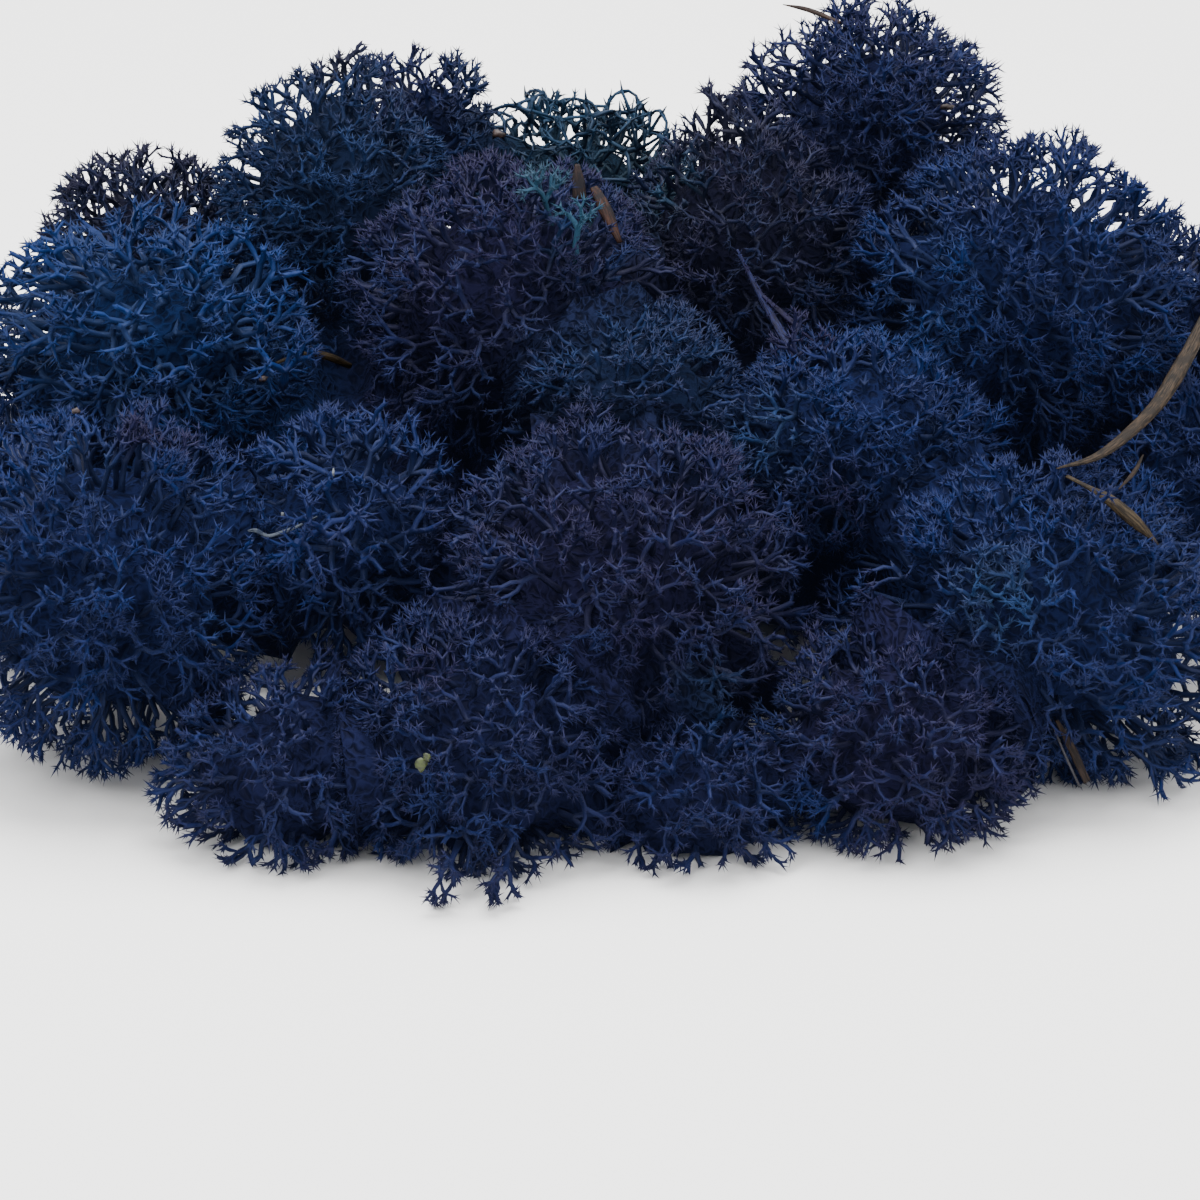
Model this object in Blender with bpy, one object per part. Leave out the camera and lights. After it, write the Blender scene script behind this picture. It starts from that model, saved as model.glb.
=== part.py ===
# Reindeer moss clump: tufts of a forked lichen pressed into one low heap, with the conifer
# needles, twigs and straw that are caught in it. The heap lies on its underside: z = 0 is the
# surface below it, +X is its long way and -Y its front.

import math
import random
from collections import namedtuple

import bmesh
import bpy
from mathutils import Quaternion, Vector, kdtree, noise
from mathutils.bvhtree import BVHTree

MM = 0.001

# The tufts. x, y, z place a tuft's middle, reach is its radius to the tips, rise its half height.
Tuft = namedtuple("Tuft", "name x y z reach rise colour")
TUFTS = [
    Tuft("tuft_low_front", -14, -47, 7, 16.5, 14.5, "navy"),
    Tuft("tuft_front_centre", -1.5, -32, 16.5, 20, 18, "purple"),
    Tuft("tuft_low_front_mid", 6, -50, 4, 11, 9, "navy"),
    Tuft("tuft_low_front_left", -31.5, -49, 6, 12, 10, "navy"),
    Tuft("tuft_front_left", -49, -31, 17, 18.5, 18, "blue"),
    Tuft("tuft_left_open", -27, -27, 21, 13.5, 14, "blue"),
    Tuft("tuft_left_upper", -45.5, -3, 32.5, 16.5, 13, "azure"),
    Tuft("tuft_left_tall", -30, 14, 41, 13, 14.5, "slate"),
    Tuft("tuft_back_left_small", -21.5, 30, 42.5, 10.5, 10.5, "navy"),
    Tuft("tuft_far_left_dark", -51.5, 22, 32.5, 12.5, 11.5, "navy"),
    Tuft("tuft_centre_purple", -11.5, -2, 35, 17.5, 15.5, "purple"),
    Tuft("tuft_centre_teal", -1, -14, 29, 13.5, 11, "slate"),
    Tuft("tuft_back_lacy", -4, 32, 37, 13, 11.5, "teal"),
    Tuft("tuft_back_right_dark", 11.5, 12, 36.5, 14, 13.5, "navy"),
    Tuft("tuft_right_peak", 24, 28, 44.5, 15.5, 13.5, "navy"),
    Tuft("tuft_right_upper", 39, 5, 33.5, 19, 17.5, "azure"),
    Tuft("tuft_right_mid", 21, -14, 25, 15.5, 11.5, "azure"),
    Tuft("tuft_right_front", 37.5, -30, 13.5, 20, 16.5, "blue"),
    Tuft("tuft_low_right", 24.5, -44, 7, 15, 11.5, "purple"),
    Tuft("tuft_far_right", 55.5, 13, 26, 14.5, 14, "navy"),
    Tuft("tuft_far_right_mid", 57.5, -9, 18, 14.5, 14, "blue"),
    Tuft("tuft_left_edge", -59, -5, 15, 15.5, 15, "blue"),
    Tuft("tuft_left_back_low", -53, 24, 14, 18, 15, "navy"),
    Tuft("tuft_back_low_left", -31, 42, 17, 20.5, 19, "blue"),
    Tuft("tuft_back_low_mid", -2, 49, 17, 19.5, 19, "navy"),
    Tuft("tuft_back_low_right", 27, 44, 18, 21, 20, "blue"),
    Tuft("tuft_right_back_low", 53, 25, 13, 17, 15, "navy"),
    Tuft("tuft_inner_centre", 0, 6, 14, 22, 20, "navy"),
    Tuft("tuft_inner_left", -28, 4, 15, 18, 17, "navy"),
    Tuft("tuft_inner_right", 30, 8, 14, 18, 18, "navy"),
]
HEART = Vector((0, 6, 6)) * MM  # the tufts grow away from here
SEAM = 0.3 * MM  # clear gap that neighbours keep
NEIGHBOUR_RANGE = 2  # millimetres between two tufts' tips within which they still bound each other
SETTLING_ROUNDS = 3  # how often a point is pushed back inside all the planes around its tuft

# A tuft's dense core, as shares of its reach: low under the open side, where the sprigs stand,
# and up to its neighbours on the buried side
CORE_OPEN = 0.52
CORE_BURIED = 1.2
CORE_TURN = 0.4  # where the open side ends, as the cosine of the angle to its middle
CORE_BLEND = 0.8
CORE_LUMPS = 0.10
CORE_DIVISIONS = 1
FLAT_WITHIN = 0.02  # radians that two core faces may differ and still be made one
OPEN_UPWARD = 0.8  # how far the open side turns up from straight out of the heap

# The forked sprigs that stand out of the cores
SPRIG_SPACING = 7.1 * MM
SPRIG_ROOT = 1.2 * MM  # how far a stem starts inside the core
ROOT_WIDTH = 4.0 * MM
STEM_WIDTH = 2.3 * MM
BRANCH_WIDTH = 1.7 * MM
SHORTEST_SPRIG = 2.6 * MM
LONGEST_SPRIG = 13 * MM
BRANCHED_FROM = 4.2 * MM  # shorter sprigs have a stem and tips only
STEM_SHARE = 0.34
BRANCH_SHARE = 0.46
TIP_SHARE = 0.42
BRANCH_VARIES = (0.85, 1.2)
TIP_VARIES = (0.8, 1.2)
SPREAD = 1.3  # how far branches lean out of their stem's line
TIP_SPREAD = 1.1
WOBBLE = 0.25
FORK_RISE = 0.25  # how far a fork's middle stands up, as a share of its width
TIP_RISE = 0.15
TIP_ROOM = 0.08 * MM
LUMP_HEIGHT = 0.07
LUMPS_PER_REACH = 2.2
SPOTS_TRIED = 260
HEIGHT_STEP = 0.5 * MM
LOWEST_SPRIG = 2.0 * MM
OPEN_LEAN = 0.25  # how far sprigs lean towards the open side
TRIES = 8
SHORTER_EACH_TRY = 0.06
BURIED_AT = [4 * MM, 8 * MM, 12 * MM, 18 * MM]  # how far outside a tip other tufts are looked for
LOOK_UPWARD = 0.5  # how far that look turns up from straight out of the heap

COLOURS = {
    "navy": (0.012, 0.016, 0.060),
    "blue": (0.016, 0.042, 0.180),
    "azure": (0.018, 0.072, 0.240),
    "slate": (0.020, 0.045, 0.120),
    "teal": (0.015, 0.065, 0.130),
    "purple": (0.030, 0.028, 0.095),
    "grey_brown": (0.120, 0.090, 0.060),
    "brown": (0.130, 0.055, 0.025),
    "violet": (0.070, 0.065, 0.170),
    "yellow_brown": (0.170, 0.100, 0.030),
    "straw": (0.420, 0.430, 0.400),
}

# The caught litter: points along each piece and its width at each point, all in millimetres
Litter = namedtuple("Litter", "name colour sides path widths")
LITTER = [
    Litter(
        "needle_long",
        "grey_brown",
        8,
        [(39.3, -33.4, 30.0), (44, -28.8, 29.8), (49.5, -19.8, 30.8), (53, -12.8, 32.9), (56.5, -5, 36.0)],
        [0.3, 1.5, 1.8, 1.9, 1.5],
    ),
    Litter(
        "needle_spindle",
        "grey_brown",
        8,
        [(40.3, -33.2, 29.2), (44, -36.2, 28), (46.4, -37.6, 26.3), (48.6, -38.4, 24.3)],
        [0.4, 1.5, 1.6, 0.3],
    ),
    Litter(
        "needle_chip",
        "brown",
        6,
        [(45.2, -33, 27.8), (47, -29, 28), (48.2, -25.4, 28.4)],
        [0.5, 1.0, 0.5],
    ),
    Litter(
        "bud_scale_upper",
        "brown",
        6,
        [(-5.2, -2, 49.8), (-5.1, -3, 48.4), (-5, -4, 46.8)],
        [0.7, 1.7, 1.1],
    ),
    Litter(
        "bud_scale_lower",
        "brown",
        6,
        [(-3.6, -4.5, 48.2), (-2.4, -6.6, 46.4), (-1.1, -9, 44.1)],
        [1.5, 1.6, 0.5],
    ),
    Litter(
        "needle_top",
        "brown",
        6,
        [(15.7, 29.4, 57.2), (18.3, 28, 57.0), (21.5, 26, 56.2)],
        [0.4, 0.8, 0.5],
    ),
    Litter(
        "twig_yellow",
        "yellow_brown",
        6,
        [(-34.4, -11.4, 32.6), (-31.8, -10.2, 33.2), (-29.4, -8.8, 32.4), (-27.4, -7.4, 31)],
        [0.6, 1.3, 1.5, 0.9],
    ),
    Litter(
        "straw_pale",
        "straw",
        6,
        [(-35.4, -39, 26), (-33.4, -39.2, 25.7), (-31.4, -38.8, 26.1), (-29, -38.2, 27.1)],
        [0.6, 0.9, 0.8, 0.6],
    ),
    Litter(
        "needle_low_right",
        "brown",
        6,
        [(38.8, -46.4, 10.4), (40.3, -47, 7.7), (41.8, -47.6, 4.6)],
        [0.6, 1.4, 1.2],
    ),
]
TWIG_NAME = "twig_forked"
TWIG_MAIN = Litter(
    TWIG_NAME,
    "violet",
    6,
    [(10.4, -1.6, 41), (12.4, -3.4, 37.4), (14.4, -6, 34.4), (16.8, -9.8, 31.4)],
    [0.4, 1.3, 1.5, 1.6],
)
TWIG_LEG = Litter(
    TWIG_NAME,
    "violet",
    6,
    [(13.2, -4.2, 36.6), (15.8, -5.6, 34.8), (18.8, -7.4, 32.8)],
    [1.0, 1.0, 0.6],
)
LITTER_STEP = 0.4 * MM  # spacing of the points that sprigs are kept clear of
CURVE_STEPS = 2  # pieces between two points of a litter path
WELD = 0.01 * MM

MOSS_ROUGHNESS = 0.9
LITTER_ROUGHNESS = 0.7


def middle(tuft):
    return Vector((tuft.x, tuft.y, tuft.z)) * MM


def finish_of(name, colour, roughness):
    material = bpy.data.materials.new(name)
    material.use_nodes = True
    shader = material.node_tree.nodes["Principled BSDF"]
    shader.inputs["Base Color"].default_value = (*COLOURS[colour], 1)
    shader.inputs["Roughness"].default_value = roughness
    shader.inputs["Metallic"].default_value = 0.0
    return material


def add_object(name, mesh, parent, location=(0, 0, 0)):
    piece = bpy.data.objects.new(name, mesh)
    piece.location = location
    piece.parent = parent
    bpy.context.scene.collection.objects.link(piece)
    return piece


def join_repeats(body, repeats):
    """One union of a body with the repeats that stand out of it, after which the repeats go."""
    together = bpy.data.collections.new(body.name + "_repeats")
    bpy.context.scene.collection.children.link(together)
    for repeat in repeats:
        bpy.context.scene.collection.objects.unlink(repeat)
        together.objects.link(repeat)
    union = body.modifiers.new("union", "BOOLEAN")
    union.operation = "UNION"
    union.operand_type = "COLLECTION"
    union.collection = together
    union.solver = "MANIFOLD"
    depsgraph = bpy.context.evaluated_depsgraph_get()
    joined = bpy.data.meshes.new_from_object(body.evaluated_get(depsgraph))
    joined.materials.clear()
    body.modifiers.clear()
    body.data = joined
    for repeat in repeats:
        bpy.data.objects.remove(repeat)
    bpy.data.collections.remove(together)
    keep_largest_body(joined)


def keep_largest_body(mesh):
    """Drops any loose scrap that a union left, and any sealed hollow."""
    bm = bmesh.new()
    bm.from_mesh(mesh)
    bmesh.ops.triangulate(bm, faces=bm.faces)
    groups = []
    seen = set()
    for seed in bm.verts:
        if seed in seen:
            continue
        seen.add(seed)
        group = [seed]
        for vert in group:
            for edge in vert.link_edges:
                other = edge.other_vert(vert)
                if other not in seen:
                    seen.add(other)
                    group.append(other)
        groups.append(group)
    groups.sort(key=len)
    loose = [vert for group in groups[:-1] for vert in group]
    bmesh.ops.delete(bm, geom=loose, context="VERTS")
    bm.to_mesh(mesh)
    bm.free()


# Litter


def litter_curve(piece):
    """A piece's centre line as a round curve: a bevel of half a millimetre, widened at each point."""
    curve = bpy.data.curves.new(piece.name, "CURVE")
    curve.dimensions = "3D"
    curve.bevel_depth = MM / 2
    curve.bevel_resolution = piece.sides // 2 - 2
    curve.use_fill_caps = True
    spline = curve.splines.new("BEZIER")
    spline.resolution_u = CURVE_STEPS
    spline.bezier_points.add(len(piece.path) - 1)
    for point, place, width in zip(spline.bezier_points, piece.path, piece.widths):
        point.co = Vector(place) * MM
        point.radius = width
        point.handle_left_type = "AUTO"
        point.handle_right_type = "AUTO"
    return curve


def as_solid(piece, parent):
    """A litter piece as a mesh object, made from its curve."""
    shape = add_object(piece.name, litter_curve(piece), parent)
    depsgraph = bpy.context.evaluated_depsgraph_get()
    mesh = bpy.data.meshes.new_from_object(shape.evaluated_get(depsgraph))
    bpy.data.objects.remove(shape)
    bm = bmesh.new()
    bm.from_mesh(mesh)
    bmesh.ops.remove_doubles(bm, verts=bm.verts, dist=WELD)  # the caps
    bmesh.ops.triangulate(bm, faces=bm.faces)
    bm.to_mesh(mesh)
    bm.free()
    solid = add_object(piece.name, mesh, parent)
    solid.data.name = piece.name
    return solid


def make_litter(parent):
    for piece in LITTER:
        solid = as_solid(piece, parent)
        solid.data.materials.append(finish_of(piece.name, piece.colour, LITTER_ROUGHNESS))
    main = as_solid(TWIG_MAIN, parent)
    leg = as_solid(TWIG_LEG, parent)
    join_repeats(main, [leg])
    main.data.materials.append(finish_of(TWIG_NAME, TWIG_MAIN.colour, LITTER_ROUGHNESS))


def litter_samples():
    """Points along all the litter with the half width there, for sprigs to keep clear of."""
    samples = []
    for piece in LITTER + [TWIG_MAIN, TWIG_LEG]:
        stretches = zip(piece.path, piece.path[1:], piece.widths, piece.widths[1:])
        for start, end, wide, wide_end in stretches:
            a = Vector(start) * MM
            b = Vector(end) * MM
            count = max(2, math.ceil((b - a).length / LITTER_STEP))
            for k in range(count + 1):
                share = k / count
                half = 0.5 * MM * (wide + (wide_end - wide) * share)
                samples.append((a.lerp(b, share), half))
    tree = kdtree.KDTree(len(samples))
    for index, (place, half) in enumerate(samples):
        tree.insert(place, index)
    tree.balance()
    return tree, [half for place, half in samples]


# Tufts


def cell_of(tuft):
    """The planes around a tuft, in its own frame: one towards each neighbour, and the surface."""
    here = middle(tuft)
    planes = [(Vector((0, 0, -1)), here.z)]
    for other in TUFTS:
        away = middle(other) - here
        far = away.length
        if other is tuft or far > (tuft.reach + other.reach + NEIGHBOUR_RANGE) * MM:
            continue
        share = (far**2 + (tuft.reach * MM) ** 2 - (other.reach * MM) ** 2) / (2 * far)
        planes.append((away / far, share - SEAM / 2))
    return planes


def kept_inside(point, planes, room):
    for _ in range(SETTLING_ROUNDS):
        for normal, distance in planes:
            over = point.dot(normal) - (distance - room)
            if over > 0:
                point = point - normal * over
    return point


def tip_distance(tuft, direction):
    """How far the tips reach from the tuft's middle along a direction: an oval with lumps."""
    flat = math.hypot(direction.x, direction.y)
    oval = 1 / math.hypot(flat / tuft.reach, direction.z / tuft.rise)
    bump = noise.noise(direction * LUMPS_PER_REACH + Vector((tuft.x, tuft.y, tuft.z)))
    return oval * (1 + LUMP_HEIGHT * bump) * MM


def open_side(tuft):
    """The direction in which a tuft lies open: out of the heap and upwards."""
    away = (middle(tuft) - HEART).normalized()
    return (away + Vector((0, 0, OPEN_UPWARD))).normalized()


def core_mesh(tuft, planes):
    """A lumpy ball, cut flat where a neighbour or the surface lies against it."""
    bm = bmesh.new()
    bmesh.ops.create_icosphere(bm, subdivisions=CORE_DIVISIONS, radius=1)
    facing = open_side(tuft)
    for vert in bm.verts:
        ray = vert.co.normalized()
        buried = min(1, max(0, (CORE_TURN - ray.dot(facing)) / CORE_BLEND))
        share = CORE_OPEN + (CORE_BURIED - CORE_OPEN) * buried
        bump = noise.noise(ray * LUMPS_PER_REACH + middle(tuft) / MM)
        vert.co = ray * tip_distance(tuft, ray) * share * (1 + CORE_LUMPS * bump)
    for normal, distance in planes:
        everything = bm.verts[:] + bm.edges[:] + bm.faces[:]
        bmesh.ops.bisect_plane(
            bm, geom=everything, dist=0, plane_co=normal * distance, plane_no=normal, clear_outer=True
        )
        rim = [edge for edge in bm.edges if edge.is_boundary]
        if rim:
            bmesh.ops.holes_fill(bm, edges=rim)
    bmesh.ops.dissolve_limit(
        bm, angle_limit=FLAT_WITHIN, use_dissolve_boundaries=False, verts=bm.verts, edges=bm.edges
    )
    bmesh.ops.triangulate(bm, faces=bm.faces)
    bmesh.ops.recalc_face_normals(bm, faces=bm.faces)
    return bm


def lift(bm, face, centre, heading, width):
    """Extrudes a three-sided face to a new centre, evened out and turned to face its heading."""
    before = face.calc_center_median()
    turn = face.normal.rotation_difference(heading)
    top = bmesh.ops.extrude_discrete_faces(bm, faces=[face])["faces"][0]
    spoke = turn @ (top.verts[0].co - before)
    spoke = (spoke - heading * spoke.dot(heading)).normalized()
    for k, vert in enumerate(top.verts):
        vert.co = centre + Quaternion(heading, math.tau * k / 3) @ spoke * width / 2
    top.normal_update()
    return top


class Grower:
    """Grows one tuft's sprigs inside its cell and clear of the litter."""

    def __init__(self, tuft, planes, litter):
        self.tuft = tuft
        self.planes = planes
        self.litter_tree, self.litter_halves = litter
        self.rng = random.Random(tuft.name)

    def clear_of_litter(self, point, room):
        place, index, distance = self.litter_tree.find(point + middle(self.tuft))
        needed = self.litter_halves[index] + room + SEAM
        if distance < needed:
            away = (point + middle(self.tuft) - place).normalized()
            point = point + away * (needed - distance)
        return point

    def settled(self, point, room):
        """A point pulled back to the tips' oval, then kept clear of litter and neighbours."""
        limit = tip_distance(self.tuft, point.normalized()) - room
        if point.length > limit:
            point = point.normalized() * limit
        point = self.clear_of_litter(point, room)
        return kept_inside(point, self.planes, room)

    def aside(self, heading, toward, amount):
        wobble = Vector([self.rng.uniform(-WOBBLE, WOBBLE) for _ in range(3)])
        return (heading + toward * amount + wobble).normalized()

    def split(self, bm, face, heading, rise):
        """Pokes a face into three and gives each new face with the way it leans."""
        centre = face.calc_center_median()
        width = face.calc_perimeter() / 3
        poked = bmesh.ops.poke(bm, faces=[face], offset=rise * width)
        result = []
        for part in poked["faces"]:
            out = part.calc_center_median() - centre
            out = (out - heading * out.dot(heading)).normalized()
            result.append((part, out))
        return result

    def spikes(self, bm, face, heading, length):
        for part, out in self.split(bm, face, heading, TIP_RISE):
            lean = self.aside(heading, out, TIP_SPREAD)
            goal = part.calc_center_median() + lean * length * self.rng.uniform(*TIP_VARIES)
            tip = bmesh.ops.poke(bm, faces=[part], offset=0)["verts"][0]
            tip.co = self.settled(goal, TIP_ROOM)

    def sprig(self, spot, heading, height):
        """A stem rooted in the core, its branches and their tips, as one closed mesh."""
        bm = bmesh.new()
        turn = Vector((0, 0, 1)).rotation_difference(heading)
        angle = self.rng.uniform(0, math.tau)
        root = kept_inside(spot - heading * SPRIG_ROOT, self.planes, ROOT_WIDTH / 2)
        corners = []
        for k in range(3):
            around = angle + math.tau * k / 3
            flat = Vector((math.cos(around), math.sin(around), 0))
            corners.append(bm.verts.new(root + turn @ flat * ROOT_WIDTH / 2))
        base = bm.faces.new(corners)
        base.normal_update()
        stem = height * STEM_SHARE
        top_centre = self.settled(spot + heading * stem, STEM_WIDTH / 2)
        top = lift(bm, base, top_centre, heading, STEM_WIDTH)
        bm.faces.new(reversed(corners))
        if height < BRANCHED_FROM:
            self.spikes(bm, top, heading, height - stem)
        else:
            for part, out in self.split(bm, top, heading, FORK_RISE):
                lean = self.aside(heading, out, SPREAD)
                long = height * BRANCH_SHARE * self.rng.uniform(*BRANCH_VARIES)
                end = self.settled(part.calc_center_median() + lean * long, BRANCH_WIDTH / 2)
                branch = lift(bm, part, end, lean, BRANCH_WIDTH)
                self.spikes(bm, branch, lean, height * TIP_SHARE)
        bmesh.ops.triangulate(bm, faces=bm.faces)
        bmesh.ops.recalc_face_normals(bm, faces=bm.faces)
        return bm

    def is_sound(self, bm):
        """True where no face of the sprig crosses another and no edge comes near the litter."""
        tree = BVHTree.FromBMesh(bm)
        bm.faces.ensure_lookup_table()
        for one, two in tree.overlap(tree):
            if one < two and not set(bm.faces[one].verts) & set(bm.faces[two].verts):
                return False
        for edge in bm.edges:
            a, b = (vert.co + middle(self.tuft) for vert in edge.verts)
            count = max(1, math.ceil((b - a).length / LITTER_STEP))
            for k in range(count + 1):
                place, index, distance = self.litter_tree.find(a.lerp(b, k / count))
                if distance < self.litter_halves[index] + SEAM:
                    return False
        return bm.calc_volume(signed=True) > 0

    def sprigs(self, core):
        """Sprigs at even spacing over the open side of the core."""
        surface = BVHTree.FromBMesh(core)
        spots = []
        grown = []
        for k in range(SPOTS_TRIED):
            z = 1 - (2 * k + 1) / SPOTS_TRIED
            turn = math.pi * (3 - math.sqrt(5)) * k
            ring = math.sqrt(1 - z * z)
            ray = Vector((ring * math.cos(turn), ring * math.sin(turn), z))
            spot = surface.ray_cast(Vector(), ray)[0]
            if spot is None or any((spot - other).length < SPRIG_SPACING for other in spots):
                continue
            if spot.z + middle(self.tuft).z < LOWEST_SPRIG:
                continue
            heading = (ray + open_side(self.tuft) * OPEN_LEAN).normalized()
            height = self.open_height(spot, heading)
            if height < SHORTEST_SPRIG or self.is_buried(spot + heading * height):
                continue
            for attempt in range(TRIES):
                bm = self.sprig(spot, heading, height * (1 - SHORTER_EACH_TRY * attempt))
                if self.is_sound(bm):
                    grown.append(bm)
                    spots.append(spot)
                    break
                bm.free()
        return grown

    def is_buried(self, tip):
        """True where other tufts lie over a tip, seen from above and outside the heap."""
        place = tip + middle(self.tuft)
        ray = ((place - HEART).normalized() + Vector((0, 0, LOOK_UPWARD))).normalized()
        for reach in BURIED_AT:
            probe = place + ray * reach
            for other in TUFTS:
                if other is self.tuft:
                    continue
                offset = probe - middle(other)
                if offset.length < tip_distance(other, offset.normalized()):
                    return True
        return False

    def open_height(self, spot, heading):
        """How far a sprig can grow from a spot before the tips' oval or a neighbour stops it."""
        height = 0.0
        while height < LONGEST_SPRIG:
            point = spot + heading * (height + HEIGHT_STEP)
            if point.length > tip_distance(self.tuft, point.normalized()):
                break
            if any(point.dot(normal) > distance - HEIGHT_STEP for normal, distance in self.planes):
                break
            height += HEIGHT_STEP
        return height


def make_tuft(tuft, parent, litter):
    planes = cell_of(tuft)
    core = core_mesh(tuft, planes)
    grower = Grower(tuft, planes, litter)
    grown = grower.sprigs(core)
    mesh = bpy.data.meshes.new(tuft.name)
    core.to_mesh(mesh)
    core.free()
    body = add_object(tuft.name, mesh, parent, middle(tuft))
    repeats = []
    for k, bm in enumerate(grown):
        sprig_mesh = bpy.data.meshes.new(f"{tuft.name}_sprig_{k}")
        bm.to_mesh(sprig_mesh)
        bm.free()
        repeats.append(add_object(sprig_mesh.name, sprig_mesh, parent, middle(tuft)))
    bpy.context.view_layer.update()
    if repeats:
        join_repeats(body, repeats)
    body.data.materials.append(finish_of(tuft.name, tuft.colour, MOSS_ROUGHNESS))
    print(tuft.name, "sprigs", len(grown), "triangles", len(body.data.polygons))
    return len(body.data.polygons)


def main():
    for old in list(bpy.data.objects):
        bpy.data.objects.remove(old)
    clump = bpy.data.objects.new("clump", None)
    bpy.context.scene.collection.objects.link(clump)
    make_litter(clump)
    litter = litter_samples()
    total = sum(make_tuft(tuft, clump, litter) for tuft in TUFTS)
    print("triangles in the tufts", total)


main()
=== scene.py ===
import math

import bmesh
import bpy
import numpy as np
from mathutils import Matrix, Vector, kdtree, noise


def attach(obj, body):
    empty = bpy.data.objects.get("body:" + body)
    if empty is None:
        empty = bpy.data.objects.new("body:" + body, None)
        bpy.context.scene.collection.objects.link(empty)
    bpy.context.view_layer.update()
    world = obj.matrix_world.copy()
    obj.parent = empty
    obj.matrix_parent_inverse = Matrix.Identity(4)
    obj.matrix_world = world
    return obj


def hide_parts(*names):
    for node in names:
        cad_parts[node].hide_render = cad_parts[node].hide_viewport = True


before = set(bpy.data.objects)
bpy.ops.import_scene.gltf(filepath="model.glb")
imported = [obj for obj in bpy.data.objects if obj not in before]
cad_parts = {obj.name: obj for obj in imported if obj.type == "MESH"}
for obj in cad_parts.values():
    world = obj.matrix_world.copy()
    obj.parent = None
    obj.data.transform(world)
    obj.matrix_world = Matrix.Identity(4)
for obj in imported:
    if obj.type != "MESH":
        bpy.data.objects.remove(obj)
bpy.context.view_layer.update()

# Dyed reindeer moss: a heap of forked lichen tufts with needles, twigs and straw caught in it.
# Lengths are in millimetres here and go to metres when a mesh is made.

mm = 0.001

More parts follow.
